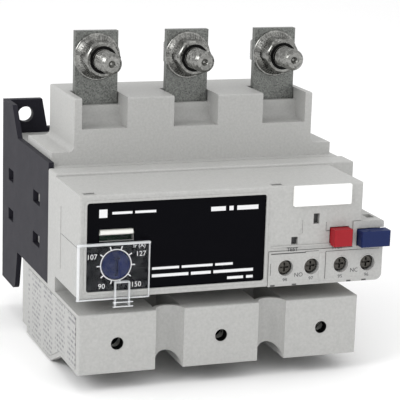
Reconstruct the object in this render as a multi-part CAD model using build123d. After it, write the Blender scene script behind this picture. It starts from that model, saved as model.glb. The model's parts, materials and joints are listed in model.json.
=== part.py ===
"""Three-pole electronic motor-protection relay: moulded housings, busbars, transformers and trip mechanism.

X runs left to right across the poles, Y runs from the front (negative) to the rear mounting face, Z is up.
Every piece is drawn with Z = 0 at the lowest edge of the load shroud and Y = 0 on the rear mounting face.
save_all then lowers the whole model so that the origin is the middle of the rear mounting face.
"""

import os

from build123d import *

# ---- overall sizes, millimetres ----
BODY_WIDTH = 119.0
BODY_DEPTH = 115.0
SHROUD_HEIGHT = 28.4
MODULE_GAP = 5.8
MODULE_HEIGHT = 37.6
LEDGE_RISE = 1.0
STEP_RISE = 4.8
BLOCK_RISE = 20.2
TAB_RISE = 23.6
MODULE_DEPTH = 32.0

# ---- walls and clearances ----
WALL = 2.0
BASE_WALL = 2.0
BASE_PLATE = 3.5
SLIP = 0.2
MOVING_GAP = 0.3
RUNNING_GAP = 0.05
EDGE_RADIUS = 0.7

# ---- derived datums ----
LEFT = -BODY_WIDTH / 2
RIGHT = BODY_WIDTH / 2
FRONT = -BODY_DEPTH
MODULE_BOTTOM = SHROUD_HEIGHT + MODULE_GAP
MODULE_TOP = MODULE_BOTTOM + MODULE_HEIGHT
BODY_TOP = MODULE_TOP + LEDGE_RISE
STEP_TOP = BODY_TOP + STEP_RISE
BLOCK_TOP = STEP_TOP + BLOCK_RISE
TAB_TOP = BLOCK_TOP + TAB_RISE
MID_FRONT = FRONT + MODULE_DEPTH
MID_REAR = -(BASE_PLATE + SLIP)
MID_LEFT = LEFT + BASE_WALL + SLIP
MID_RIGHT = RIGHT - BASE_WALL - SLIP

# ---- dark rear base ----
BASE_REACH = 72.3
BASE_BOTTOM = SHROUD_HEIGHT
BASE_TOP = 74.8
RIGHT_WALL_TOP = BODY_TOP - 1.5
EAR_RISE = 11.8
EAR_WIDTH = 18.5
EAR_DROP = 4.7
EAR_TAPER = 3.0
EAR_ROUND = 3.0
EAR_HOLE_RADIUS = 3.2
EAR_HOLE_INSET = 8.6
EAR_HOLE_DROP = 6.2
EAR_CHEEK_TOP = 16.0
EAR_CHEEK_FOOT = 25.0
LEG_DROP = 16.5
LEG_REACH = 21.5
LEG_ROUND = 4.0
FOOT_WIDTH = 17.0
FOOT_SLOT_WIDTH = 6.4
FOOT_SLOT_INSET = 5.5
FOOT_SLOT_HEIGHT = 13.0
BASE_CORNER = 3.0
VENT_ROWS = ((38.9, 43.6), (55.2, 60.0))
VENT_COLUMNS = ((-18.3, -10.3), (-60.0, -50.0))
BASE_SCREW_X = 44.0
BASE_SCREW_ROWS = (36.0, 66.0)
BASE_SCREW_RADIUS = 1.7
BASE_SCREW_HEAD = 3.4
BASE_SCREW_LENGTH = 14.0
BASE_POCKET_DEPTH = 1.2

# ---- upper block, one recess and one tab per pole ----
BLOCK_INSET_LEFT = 10.8
BLOCK_INSET_RIGHT = 12.2
BLOCK_FRONT = -68.5
BLOCK_REAR = -33.0
STEP_INSET_RIGHT = 3.7
STEP_CORNER = 2.3
LINE_PITCH = 36.3
RECESS_WIDTH = 17.8
RECESS_BACK = -50.5
RECESS_DROP = 11.7
SHELF_DROP = 4.4
SHELF_LIP = 2.4
SCOOP_RADIUS = 3.5
LINE_CENTRE = (LEFT + BLOCK_INSET_LEFT + RIGHT - BLOCK_INSET_RIGHT) / 2
LINE_POLES = [LINE_CENTRE + step * LINE_PITCH for step in (-1, 0, 1)]
POLE_NAMES = ("left", "centre", "right")

# ---- busbars ----
BAR_WIDTH = 16.8
BAR_THICKNESS = 3.0
BAR_FRONT = -56.5
BAR_REAR = BAR_FRONT + BAR_THICKNESS
BAR_LOWER_WIDTH = 14.0
BAR_JOG_TOP = 43.0
BAR_JOG_FOOT = 32.0
BAR_RUN_TOP = 24.5
BAR_TIP_FRONT = FRONT + 28.0
BAR_TIP_FOOT = 8.0
STUD_RADIUS = 4.0
STUD_ROOT = 3.7
STUD_CHAMFER = 0.85
STUD_DROP = 9.8
STUD_REACH = 20.0
NUT_ACROSS_FLATS = 13.0
NUT_HEIGHT = 6.5
LOCK_WASHER_RADIUS = 9.0
LOCK_WASHER_HEIGHT = 2.4
LOCK_WASHER_RIM = 0.9
FLAT_WASHER_RADIUS = 8.0
FLAT_WASHER_HEIGHT = 1.6
BOLT_HEAD_HEIGHT = 5.3
HOLE_GAP = 0.25

# ---- load shroud, one bay per pole ----
BAY_WIDTH = 29.0
LOAD_PITCH = 39.7
SHROUD_REAR = -35.0
SHROUD_HEEL = -42.0
SHROUD_HEEL_RISE = 2.4
SHROUD_TOE = 6.2
TOE_LENGTH = 23.0
TOE_SLOPE = 14.0
WEB_THICKNESS = 1.6
KEY_HOLE_RADIUS = 2.35
KEY_HOLE_HEIGHT = 17.1
LOAD_POLES = [LEFT + BAY_WIDTH / 2 + step * LOAD_PITCH for step in (0, 1, 2)]
SHROUD_RIGHT = LOAD_POLES[-1] + BAY_WIDTH / 2
BAY_FLOOR_FRONT = FRONT + TOE_LENGTH + TOE_SLOPE

# ---- load clamps ----
CAGE_WIDTH = 18.0
CAGE_WALL = 2.2
CAGE_FRONT = FRONT + 12.0
CAGE_FOOT = 9.0
CAGE_TOP = BAR_RUN_TOP - BAR_THICKNESS - 0.5
CLAMP_SCREW_RADIUS = 4.0
CLAMP_SCREW_LENGTH = 10.0
CLAMP_SOCKET_RADIUS = 2.3
PRESSURE_PLATE = 1.5

# ---- current transformers and boards ----
CORE_WIDTH = 32.0
CORE_LEG = 9.5
CORE_WINDOW_X = 21.0
CORE_WINDOW_FRONT = -63.5
CORE_WINDOW_REAR = -48.0
CORE_HEIGHT = 10.0
CORE_FOOT = 50.0
COIL_BUILD = 3.0
COIL_WIDTH = 18.0
BOARD_THICKNESS = 1.6
SENSOR_BOARD_FRONT = MID_FRONT + 3.5
FLOOR_THICKNESS = 2.0
MAIN_BOARD_FRONT = FRONT + 11.0
BOARD_MARGIN = 0.8

# ---- front module ----
AUX_FACE_WIDTH = 37.0
MODULE_INSET_RIGHT = 10.5
MODULE_RIGHT = RIGHT - MODULE_INSET_RIGHT
AUX_LEFT = MODULE_RIGHT - AUX_FACE_WIDTH
RIM_LEFT = 2.3
RIM_TOP = 2.5
RIM_FOOT = 2.3
LABEL_RECESS = 1.0
LABEL_THICKNESS = 0.5
LABEL_CORNER = 1.5
LABEL_GAP = 0.1
WIRING_WINDOW = (-16.0, 6.0, 48.0, 58.0)

# ---- hinged clear cover over the setting dial ----
COVER_WIDTH = 26.0
COVER_OVERHANG = 0.2
COVER_THICKNESS = 0.9
COVER_STAND_OFF = 0.35
COVER_SIDE_GAP = 0.3
COVER_FLANGE_DEPTH = 5.0
HINGE_WINDOW_INSET = 7.2
HINGE_WINDOW_WIDTH = 12.9
HINGE_WINDOW_HEIGHT = 4.5
HINGE_WINDOW_DROP = 12.5
HINGE_PIN_RADIUS = 0.75
HINGE_PIN_DEPTH = 1.8
HINGE_PIN_DROP = 1.7
HINGE_KNUCKLE_RADIUS = 1.5
HINGE_ARM_DROP = 1.65
HINGE_ARM_THICKNESS = 0.8
HINGE_BOSS = 2.1
LATCH_WIDTH = 7.5
LATCH_CENTRE_INSET = 15.5
LATCH_FOOT_DROP = 2.6

# ---- setting dial ----
DIAL_INSET = 13.6
DIAL_HEIGHT = 11.9
DIAL_RADIUS = 5.2
DIAL_THICKNESS = 2.4
DIAL_SHAFT_RADIUS = 2.0
DIAL_SHAFT_LENGTH = 5.0
DIAL_SLOT_WIDTH = 1.3
DIAL_SLOT_LENGTH = 7.6
DIAL_SLOT_DEPTH = 0.9

# ---- auxiliary terminals ----
AUX_STRIP_HEIGHT = 13.2
AUX_STRIP_DEPTH = 20.0
AUX_PROUD = 0.3
TERMINAL_OFFSETS = (7.0, 17.4, 29.2, 40.0)
TERMINAL_NUMBERS = (98, 97, 95, 96)
TERMINAL_HEIGHT = 6.8
TERMINAL_RECESS_RADIUS = 3.0
CHAMBER_WIDTH = 8.0
CHAMBER_FRONT_WALL = 3.3
AUX_SCREW_HEAD_RADIUS = 2.7
AUX_SCREW_HEAD = 1.8
AUX_SCREW_RADIUS = 1.7
AUX_SCREW_LENGTH = 9.0
AUX_SCREW_SINK = 1.2
SADDLE_THICKNESS = 1.0
STRIP_PLATE = 1.4
STRIP_TAIL_WIDTH = 3.0
TOWER_LEFT = 3.5
TOWER_RIGHT = 9.0
TOWER_TOP = 23.0
TOWER_DEPTH = 22.0

# ---- push buttons ----
STOP_WIDTH = 7.2
STOP_HEIGHT = 6.4
STOP_OFFSET = 28.0
STOP_LEVEL = 17.8
STOP_PROUD = 4.5
RESET_WIDTH = 11.5
RESET_HEIGHT = 6.1
RESET_OVERHANG = 0.8
RESET_LEVEL = 16.9
RESET_PROUD = 5.0
RESET_TRAVEL = 2.5
BUTTON_STEM_RADIUS = 1.5
BUTTON_SKIRT = 3.2
TEST_WIDTH = 2.0
TEST_HEIGHT = 2.3
TEST_OFFSET = 10.2
TEST_LEVEL = 16.9
TEST_SINK = 1.2
TEST_TRAVEL = 2.0
SPRING_WIRE = 0.5
FLAG_OFFSET = 18.6
FLAG_LEVEL = 24.8
FLAG_WINDOW_WIDTH = 2.4
FLAG_WINDOW_HEIGHT = 3.9

# ---- trip mechanism ----
FRAME_FRONT = FRONT + 6.5
FRAME_THICKNESS = 1.5
TRIP_TRAVEL = 1.25
CARRIER_FRONT = FRONT + 14.0
CARRIER_REAR = CARRIER_FRONT + 3.7
CARRIER_FOOT = 50.5
CARRIER_TOP = MODULE_BOTTOM + TOWER_TOP - WALL - SLIP
CONTACT_PLANE = FRONT + 21.0
CONTACT_THICKNESS = 0.8
CONTACT_GAP = 0.1
LEVER_PIN_Y = FRONT + 18.6
LEVER_PIN_Z = MODULE_TOP - WALL - 9.8
LEVER_PIN_RADIUS = 1.0
LEVER_HUB_RADIUS = 2.0
LEVER_THICKNESS = 1.1

# ---- marker tag and rating label ----
TAG_OFFSET = 9.0
TAG_WIDTH = 22.9
TAG_HEIGHT = 7.6
TAG_THICKNESS = 1.0
PEG_WIDTH = 2.0
PEG_HEIGHT = 3.0
SIDE_LABEL_THICKNESS = 0.25
ORIGIN_HEIGHT = (BASE_BOTTOM + BASE_TOP) / 2


# ---- drawing helpers ----
def span(x, y, z):
    """A box between two limits on each axis."""
    centre = [(low + high) / 2 for low, high in (x, y, z)]
    size = [high - low for low, high in (x, y, z)]
    return Pos(*centre) * Box(*size)


def around(centre, width):
    """The two limits of a width about a centre."""
    return centre - width / 2, centre + width / 2


def rod_x(radius, y, z, x0, x1):
    return Pos((x0 + x1) / 2, y, z) * Rot(0, 90, 0) * Cylinder(radius, x1 - x0)


def rod_y(radius, x, z, y0, y1):
    return Pos(x, (y0 + y1) / 2, z) * Rot(90, 0, 0) * Cylinder(radius, y1 - y0)


def rod_z(radius, x, y, z0, z1):
    return Pos(x, y, (z0 + z1) / 2) * Cylinder(radius, z1 - z0)


def along_x(points, x0, x1):
    """A (Y, Z) outline carried from x0 to x1."""
    outline = make_face(Polyline(*points, close=True))
    return extrude(Plane.YZ.offset(x0) * outline, x1 - x0)


def along_y(points, y0, y1):
    """An (X, Z) outline carried from y0 to y1."""
    outline = make_face(Polyline(*points, close=True))
    return extrude(Plane.XZ.offset(-y1) * outline, y1 - y0)


def upright_edges(solid, x, y, reach=0.01):
    """The edges along Z that stand at (x, y)."""
    found = solid.edges().filter_by(Axis.Z)
    return found.filter_by(lambda e: abs(e.center().X - x) < reach and abs(e.center().Y - y) < reach)


def cross_edges(solid, y, z, reach=0.01):
    """The edges along X that lie at (y, z)."""
    found = solid.edges().filter_by(Axis.X)
    return found.filter_by(lambda e: abs(e.center().Y - y) < reach and abs(e.center().Z - z) < reach)


def deep_edges(solid, x, z, reach=0.01):
    """The edges along Y that lie at (x, z)."""
    found = solid.edges().filter_by(Axis.Y)
    return found.filter_by(lambda e: abs(e.center().X - x) < reach and abs(e.center().Z - z) < reach)


def hexagon_y(across_flats, x, z, y0, y1):
    outline = RegularPolygon(across_flats / 2, 6, major_radius=False)
    return extrude(Plane.XZ.offset(-y1) * (Pos(x, z) * outline), y1 - y0)


def coil_spring(radius, turns, x, z, y0, y1):
    """An open coil spring along Y between y0 and y1, measured over its wire."""
    length = (y1 - y0) - SPRING_WIRE
    path = Helix(length / turns, length, radius)
    section = Plane(path @ 0, z_dir=path % 0) * Circle(SPRING_WIRE / 2)
    coil = sweep(section, path=path)
    return Pos(x, y1 - SPRING_WIRE / 2, z) * Rot(90, 0, 0) * coil


# ---- dark rear base ----
def base_side(mirrored):
    """One side wall with its ear cheek above and its leg below, and the vents through it."""
    ear_top = BASE_TOP + EAR_RISE
    leg_foot = BASE_BOTTOM - LEG_DROP
    outline = [
        (0, leg_foot),
        (0, ear_top),
        (-EAR_CHEEK_TOP, ear_top),
        (-EAR_CHEEK_FOOT, BASE_TOP),
        (-BASE_REACH, BASE_TOP),
        (-BASE_REACH, BASE_BOTTOM),
        (-LEG_REACH - LEG_ROUND, BASE_BOTTOM),
        (-LEG_REACH, leg_foot),
    ]
    wall = along_x(outline, LEFT, LEFT + BASE_WALL)
    wall = fillet(wall.edges().filter_by(Axis.X).group_by(Axis.Z)[0], LEG_ROUND)
    for z in VENT_ROWS:
        for y in VENT_COLUMNS:
            wall -= span((LEFT - 1, LEFT + BASE_WALL + 1), y, z)
    if not mirrored:
        return wall
    wall -= span((LEFT - 1, LEFT + BASE_WALL + 1), (-BASE_REACH - 1, -EAR_CHEEK_FOOT), (RIGHT_WALL_TOP, BASE_TOP + 1))
    return mirror(wall, Plane.YZ)


def base_ear(mirrored):
    """A fixing ear at the top corner and a slotted foot at the bottom corner."""
    top = BASE_TOP + EAR_RISE
    foot = BASE_TOP - EAR_DROP
    right = LEFT + EAR_WIDTH
    outline = [(LEFT, foot), (LEFT, top), (right - EAR_TAPER, top), (right, foot)]
    ear = along_y(outline, -BASE_PLATE, 0)
    ear = fillet(ear.edges().filter_by(Axis.Y).group_by(Axis.X)[-1], EAR_ROUND)
    hole_x = LEFT + EAR_HOLE_INSET
    ear -= rod_y(EAR_HOLE_RADIUS, hole_x, top - EAR_HOLE_DROP, -BASE_PLATE - 1, 1)
    leg_foot = BASE_BOTTOM - LEG_DROP
    foot_plate = span((LEFT, LEFT + FOOT_WIDTH), (-BASE_PLATE, 0), (leg_foot, BASE_BOTTOM + 1))
    slot_x = LEFT + FOOT_SLOT_INSET + FOOT_SLOT_WIDTH / 2
    slot_top = leg_foot + FOOT_SLOT_HEIGHT - FOOT_SLOT_WIDTH / 2
    slot = span(around(slot_x, FOOT_SLOT_WIDTH), (-BASE_PLATE - 1, 1), (leg_foot - 1, slot_top))
    slot += rod_y(FOOT_SLOT_WIDTH / 2, slot_x, slot_top, -BASE_PLATE - 1, 1)
    pair = ear + (foot_plate - slot)
    return mirror(pair, Plane.YZ) if mirrored else pair


def base_screw_places():
    return [(x, z) for x in (-BASE_SCREW_X, BASE_SCREW_X) for z in BASE_SCREW_ROWS]


def rear_base():
    base = span((LEFT, RIGHT), (-BASE_PLATE, 0), (BASE_BOTTOM, BASE_TOP))
    for mirrored in (False, True):
        base += base_side(mirrored)
        base += base_ear(mirrored)
    for side in (-1, 1):
        pocket_x = sorted((side * 12.0, side * 36.0))
        base -= span(pocket_x, (-BASE_POCKET_DEPTH, 1), (BASE_BOTTOM + 6, BASE_TOP - 6))
    for x, z in base_screw_places():
        base -= rod_y(BASE_SCREW_RADIUS + SLIP, x, z, -BASE_PLATE - 1, 1)
        base -= rod_y(BASE_SCREW_HEAD + SLIP, x, z, -BASE_PLATE / 2, 1)
    return base


def base_screws():
    group = []
    for x, z in base_screw_places():
        head = rod_y(BASE_SCREW_HEAD, x, z, -BASE_PLATE / 2, -0.2)
        shank = rod_y(BASE_SCREW_RADIUS, x, z, -BASE_SCREW_LENGTH, -BASE_PLATE / 2)
        slot = span(around(x, 2 * BASE_SCREW_HEAD + 1), (-0.9, 0), around(z, 0.9))
        cross = span(around(x, 0.9), (-0.9, 0), around(z, 3.6))
        group.append(head + shank - (slot & head) - cross)
    return Compound(group)


# ---- upper housing ----
def recess_cutter(pole):
    """The open pocket in front of one tab, with a scooped floor under its shelf."""
    floor = BLOCK_TOP - RECESS_DROP
    shelf = BLOCK_TOP - SHELF_DROP
    lip = BAR_FRONT - SHELF_LIP
    outline = [
        (BLOCK_FRONT - 1, floor),
        (lip, floor),
        (lip, shelf),
        (RECESS_BACK, shelf),
        (RECESS_BACK, BLOCK_TOP + 1),
        (BLOCK_FRONT - 1, BLOCK_TOP + 1),
    ]
    x0, x1 = around(pole, RECESS_WIDTH)
    cutter = along_x(outline, x0, x1)
    return fillet(cross_edges(cutter, lip, floor), SCOOP_RADIUS)


def housing_outside():
    block_left = LEFT + BLOCK_INSET_LEFT
    block_right = RIGHT - BLOCK_INSET_RIGHT
    flange = span((LEFT, RIGHT), (MID_FRONT, -BASE_REACH - SLIP), (SHROUD_HEIGHT, BODY_TOP))
    flange = fillet(flange.edges().group_by(Axis.Z)[-1], EDGE_RADIUS)
    middle = span((MID_LEFT, MID_RIGHT), (-BASE_REACH - SLIP, MID_REAR), (SHROUD_HEIGHT, BODY_TOP))
    for x in (MID_LEFT, MID_RIGHT):
        middle = fillet(upright_edges(middle, x, MID_REAR), BASE_CORNER + SLIP)
    step_right = RIGHT - STEP_INSET_RIGHT
    outline = [
        (MID_LEFT, BODY_TOP - WALL),
        (MID_LEFT, STEP_TOP),
        (block_left, STEP_TOP),
        (block_left, BLOCK_TOP),
        (block_right, BLOCK_TOP),
        (block_right, STEP_TOP),
        (step_right, STEP_TOP),
        (step_right, BODY_TOP - WALL),
    ]
    block = along_y(outline, BLOCK_FRONT, BLOCK_REAR)
    corners = deep_edges(block, block_left, STEP_TOP) + deep_edges(block, block_right, STEP_TOP)
    block = fillet(corners, STEP_CORNER)
    rims = deep_edges(block, block_left, BLOCK_TOP) + deep_edges(block, block_right, BLOCK_TOP)
    rims += cross_edges(block, BLOCK_FRONT, BLOCK_TOP) + cross_edges(block, BLOCK_REAR, BLOCK_TOP)
    block = fillet(rims, EDGE_RADIUS)
    return flange + middle + block


def housing_inside():
    block_left = LEFT + BLOCK_INSET_LEFT + WALL
    block_right = RIGHT - BLOCK_INSET_RIGHT - WALL
    front = BLOCK_FRONT + WALL
    rear = BLOCK_REAR - WALL
    inside = span(
        (MID_LEFT + WALL, MID_RIGHT - WALL),
        (MID_FRONT + WALL, MID_REAR - WALL),
        (SHROUD_HEIGHT - 1, BODY_TOP - WALL),
    )
    step_right = RIGHT - STEP_INSET_RIGHT - WALL
    inside += span((MID_LEFT + WALL, step_right), (front, rear), (SHROUD_HEIGHT, STEP_TOP - WALL))
    under_recess = BLOCK_TOP - RECESS_DROP - WALL
    inside += span((block_left, block_right), (front, rear), (SHROUD_HEIGHT, under_recess))
    ceiling = BLOCK_TOP - WALL
    inside += span((block_left, block_right), (RECESS_BACK + WALL, rear), (SHROUD_HEIGHT, ceiling))
    for left, right in zip(LINE_POLES, LINE_POLES[1:]):
        between = (left + RECESS_WIDTH / 2 + WALL, right - RECESS_WIDTH / 2 - WALL)
        inside += span(between, (front, rear), (SHROUD_HEIGHT, ceiling))
    return inside


def upper_housing():
    body = housing_outside() - housing_inside()
    for pole in LINE_POLES:
        body -= recess_cutter(pole)
        slot_y = (BAR_FRONT - SLIP, BAR_REAR + SLIP)
        body -= span(around(pole, BAR_WIDTH + 2 * SLIP), slot_y, (STEP_TOP, BLOCK_TOP))
    x0, x1, z0, z1 = WIRING_WINDOW
    body -= span((x0, x1), (MID_FRONT - 1, MID_FRONT + WALL + 1), (z0, z1))
    for x, z in base_screw_places():
        body += rod_y(BASE_SCREW_RADIUS + WALL, x, z, -BASE_SCREW_LENGTH - WALL, MID_REAR)
        body -= rod_y(BASE_SCREW_RADIUS, x, z, -BASE_SCREW_LENGTH, 0)
    return body


def floor_plate():
    """The insulating plate that closes the housing from below, with a slot for each busbar."""
    plate = span(
        (MID_LEFT + WALL + SLIP, MID_RIGHT - WALL - SLIP),
        (MID_FRONT + WALL + SLIP, MID_REAR - WALL - SLIP),
        (SHROUD_HEIGHT, SHROUD_HEIGHT + FLOOR_THICKNESS),
    )
    for pole in LOAD_POLES:
        slot_y = (BAR_FRONT - SLIP, BAR_REAR + SLIP)
        slot_z = (SHROUD_HEIGHT - 1, SHROUD_HEIGHT + FLOOR_THICKNESS + 1)
        plate -= span(around(pole, BAR_LOWER_WIDTH + 2 * SLIP), slot_y, slot_z)
    for x, y in shroud_screw_places():
        plate -= rod_z(BASE_SCREW_RADIUS, x, y, SHROUD_HEIGHT - 1, SHROUD_HEIGHT + FLOOR_THICKNESS + 1)
    return plate


# ---- load shroud ----
def shroud_outline():
    return [
        (FRONT, SHROUD_HEIGHT),
        (FRONT, SHROUD_TOE),
        (FRONT + TOE_LENGTH, SHROUD_TOE),
        (BAY_FLOOR_FRONT, 0),
        (SHROUD_HEEL, 0),
        (SHROUD_HEEL, SHROUD_HEEL_RISE),
        (SHROUD_REAR, SHROUD_HEEL_RISE),
        (SHROUD_REAR, SHROUD_HEIGHT),
    ]


def shroud_gaps():
    """The X limits of the open space between neighbouring bays."""
    pairs = zip(LOAD_POLES, LOAD_POLES[1:])
    return [(left + BAY_WIDTH / 2, right - BAY_WIDTH / 2) for left, right in pairs]


def shroud_web(gap):
    """The thin half-round web that joins two bays at the front, arched at its foot."""
    centre = sum(gap) / 2
    radius = (gap[1] - gap[0]) / 2
    tube = rod_z(radius + WEB_THICKNESS, centre, FRONT, SHROUD_TOE, SHROUD_HEIGHT)
    tube &= span((gap[0] - WEB_THICKNESS, gap[1] + WEB_THICKNESS), (FRONT, MID_FRONT), (0, SHROUD_HEIGHT))
    tube -= rod_z(radius, centre, FRONT, 0, SHROUD_HEIGHT + 1)
    return tube - rod_y(radius, centre, SHROUD_TOE, FRONT - 1, MID_FRONT)


def shroud_screw_places():
    """One screw boss in the cored space behind each web."""
    return [(sum(gap) / 2, y) for gap in shroud_gaps() for y in (-70.0, -42.0)]


def lower_housing():
    shroud = along_x(shroud_outline(), LEFT, SHROUD_RIGHT)
    front_corners = upright_edges(shroud, LEFT, FRONT) + upright_edges(shroud, SHROUD_RIGHT, FRONT)
    shroud = fillet(front_corners + cross_edges(shroud, FRONT, SHROUD_HEIGHT), EDGE_RADIUS)
    inner_rear = SHROUD_REAR - WALL
    for gap in shroud_gaps():
        shroud -= span(gap, (FRONT - 1, MID_FRONT), (-1, SHROUD_HEIGHT + 1))
    for pole in LOAD_POLES:
        inner = around(pole, BAY_WIDTH - 2 * WALL)
        shroud -= span(inner, (FRONT + WALL, BAY_FLOOR_FRONT), (-1, SHROUD_HEIGHT - WALL))
        shroud -= span(inner, (MID_FRONT + WALL, inner_rear), (SHROUD_HEEL_RISE + WALL, SHROUD_HEIGHT + 1))
        shroud -= rod_y(KEY_HOLE_RADIUS, pole, KEY_HOLE_HEIGHT, FRONT - 1, FRONT + WALL + 1)
    for gap in shroud_gaps():
        cored = (SHROUD_HEEL_RISE + WALL, SHROUD_HEIGHT + 1)
        shroud -= span(gap, (MID_FRONT + WALL, inner_rear), cored)
        shroud += shroud_web(gap)
    for x, y in shroud_screw_places():
        shroud += rod_z(BASE_SCREW_HEAD + WALL, x, y, WALL, SHROUD_HEIGHT)
        shroud -= rod_z(BASE_SCREW_RADIUS + SLIP, x, y, -1, SHROUD_HEIGHT + 1)
        shroud -= rod_z(BASE_SCREW_HEAD + SLIP, x, y, -1, SHROUD_HEIGHT - 2 * WALL)
    return shroud


def shroud_screws():
    group = []
    for x, y in shroud_screw_places():
        seat = SHROUD_HEIGHT - 2 * WALL
        head = rod_z(BASE_SCREW_HEAD, x, y, seat - 2.2, seat)
        shank = rod_z(BASE_SCREW_RADIUS, x, y, seat, SHROUD_HEIGHT + FLOOR_THICKNESS + 3)
        slot = span(around(x, 2 * BASE_SCREW_HEAD + 1), around(y, 0.9), (seat - 3, seat - 1.4))
        group.append(head + shank - slot)
    return Compound(group)


# ---- busbars and line fixings ----
def busbar(line_x, load_x):
    """A flat bar from its drilled tab, jogged sideways to its bay and bent forward to the load clamp."""
    run_foot = BAR_RUN_TOP - BAR_THICKNESS
    strip = [
        (BAR_REAR, TAB_TOP),
        (BAR_REAR, run_foot),
        (BAR_TIP_FRONT + BAR_THICKNESS, run_foot),
        (BAR_TIP_FRONT + BAR_THICKNESS, BAR_TIP_FOOT),
        (BAR_TIP_FRONT, BAR_TIP_FOOT),
        (BAR_TIP_FRONT, BAR_RUN_TOP),
        (BAR_FRONT, BAR_RUN_TOP),
        (BAR_FRONT, TAB_TOP),
    ]
    upper = BAR_WIDTH / 2
    lower = BAR_LOWER_WIDTH / 2
    face = [
        (line_x - upper, TAB_TOP),
        (line_x + upper, TAB_TOP),
        (line_x + upper, BAR_JOG_TOP),
        (load_x + lower, BAR_JOG_FOOT),
        (load_x + lower, BAR_TIP_FOOT),
        (load_x - lower, BAR_TIP_FOOT),
        (load_x - lower, BAR_JOG_FOOT),
        (line_x - upper, BAR_JOG_TOP),
    ]
    half = BODY_WIDTH
    bar = along_x(strip, -half, half) & along_y(face, BAR_TIP_FRONT - 1, BAR_REAR + 1)
    stud_z = TAB_TOP - STUD_DROP
    return bar - rod_y(STUD_RADIUS + HOLE_GAP, line_x, stud_z, BAR_FRONT - 1, BAR_REAR + 1)


def line_bolts():
    """Full thread on the free end; the part under the nut is drawn at its root so the two only touch."""
    group = []
    stud_z = TAB_TOP - STUD_DROP
    seat = BAR_REAR + FLAT_WASHER_HEIGHT
    nut_front = BAR_FRONT - LOCK_WASHER_HEIGHT - NUT_HEIGHT
    for pole in LINE_POLES:
        free_end = rod_y(STUD_RADIUS, pole, stud_z, BAR_FRONT - STUD_REACH, nut_front)
        free_end = chamfer(free_end.edges().group_by(Axis.Y)[0], STUD_CHAMFER)
        shank = free_end + rod_y(STUD_ROOT, pole, stud_z, nut_front, seat)
        dimple = Pos(pole, BAR_FRONT - STUD_REACH, stud_z) * Rot(90, 0, 0) * Cone(0.3, 1.4, 1.2)
        head = hexagon_y(NUT_ACROSS_FLATS, pole, stud_z, seat, seat + BOLT_HEAD_HEIGHT)
        group.append(shank - dimple + head)
    return Compound(group)


def line_nuts():
    group = []
    stud_z = TAB_TOP - STUD_DROP
    seat = BAR_FRONT - LOCK_WASHER_HEIGHT
    for pole in LINE_POLES:
        nut = hexagon_y(NUT_ACROSS_FLATS, pole, stud_z, seat - NUT_HEIGHT, seat)
        crown = rod_y(NUT_ACROSS_FLATS / 2 + 0.55, pole, stud_z, seat - NUT_HEIGHT, seat)
        crown = chamfer(crown.edges().group_by(Axis.Y)[0], 0.9)
        group.append((nut & crown) - rod_y(STUD_ROOT, pole, stud_z, seat - NUT_HEIGHT - 1, seat + 1))
    return Compound(group)


def line_lock_washers():
    """Conical washers with a flat rim, dished towards the nut."""
    group = []
    stud_z = TAB_TOP - STUD_DROP
    top_radius = NUT_ACROSS_FLATS / 2 + 0.2
    slope_height = LOCK_WASHER_HEIGHT - LOCK_WASHER_RIM
    for pole in LINE_POLES:
        rim = rod_y(LOCK_WASHER_RADIUS, pole, stud_z, BAR_FRONT - LOCK_WASHER_RIM, BAR_FRONT)
        middle = BAR_FRONT - LOCK_WASHER_RIM - slope_height / 2
        slope = Pos(pole, middle, stud_z) * Rot(90, 0, 0) * Cone(LOCK_WASHER_RADIUS - 0.6, top_radius, slope_height)
        hole = rod_y(STUD_RADIUS + HOLE_GAP, pole, stud_z, BAR_FRONT - 5, BAR_FRONT + 1)
        group.append(rim + slope - hole)
    return Compound(group)


def line_flat_washers():
    group = []
    stud_z = TAB_TOP - STUD_DROP
    for pole in LINE_POLES:
        disc = rod_y(FLAT_WASHER_RADIUS, pole, stud_z, BAR_REAR, BAR_REAR + FLAT_WASHER_HEIGHT)
        hole = rod_y(STUD_RADIUS + HOLE_GAP, pole, stud_z, BAR_REAR - 1, BAR_REAR + 5)
        group.append(disc - hole)
    return Compound(group)


# ---- load clamps ----
def load_clamp(pole):
    """A cage round the busbar's tip, open below for the conductor, with the screw through its front."""
    tip_rear = BAR_TIP_FRONT + BAR_THICKNESS
    cage = span(around(pole, CAGE_WIDTH), (CAGE_FRONT, tip_rear + CAGE_WALL), (CAGE_FOOT, CAGE_TOP))
    hollow_x = around(pole, CAGE_WIDTH - 2 * CAGE_WALL)
    hollow_z = (CAGE_FOOT - 1, CAGE_TOP + 1)
    cage -= span(hollow_x, (CAGE_FRONT + 2 * CAGE_WALL, tip_rear), hollow_z)
    cage -= span(around(pole, BAR_LOWER_WIDTH + SLIP), (BAR_TIP_FRONT, tip_rear), hollow_z)
    bore = rod_y(CLAMP_SCREW_RADIUS, pole, KEY_HOLE_HEIGHT, CAGE_FRONT - 1, CAGE_FRONT + 2 * CAGE_WALL + 1)
    return cage - bore


def load_clamp_screws():
    group = []
    start = CAGE_FRONT - 1.5
    for pole in LOAD_POLES:
        screw = rod_y(CLAMP_SCREW_RADIUS, pole, KEY_HOLE_HEIGHT, start, start + CLAMP_SCREW_LENGTH)
        outline = RegularPolygon(CLAMP_SOCKET_RADIUS, 6)
        socket = extrude(Plane.XZ.offset(-start - 4.0) * (Pos(pole, KEY_HOLE_HEIGHT) * outline), 4.0)
        group.append(screw - socket)
    return Compound(group)


def load_pressure_plates():
    start = CAGE_FRONT - 1.5 + CLAMP_SCREW_LENGTH
    width = CAGE_WIDTH - 2 * CAGE_WALL - 2 * SLIP
    plates = []
    for pole in LOAD_POLES:
        depth = (start, start + PRESSURE_PLATE)
        plate = span(around(pole, width), depth, (KEY_HOLE_HEIGHT - 5.0, KEY_HOLE_HEIGHT + 3.7))
        plates.append(plate)
    return Compound(plates)


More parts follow.
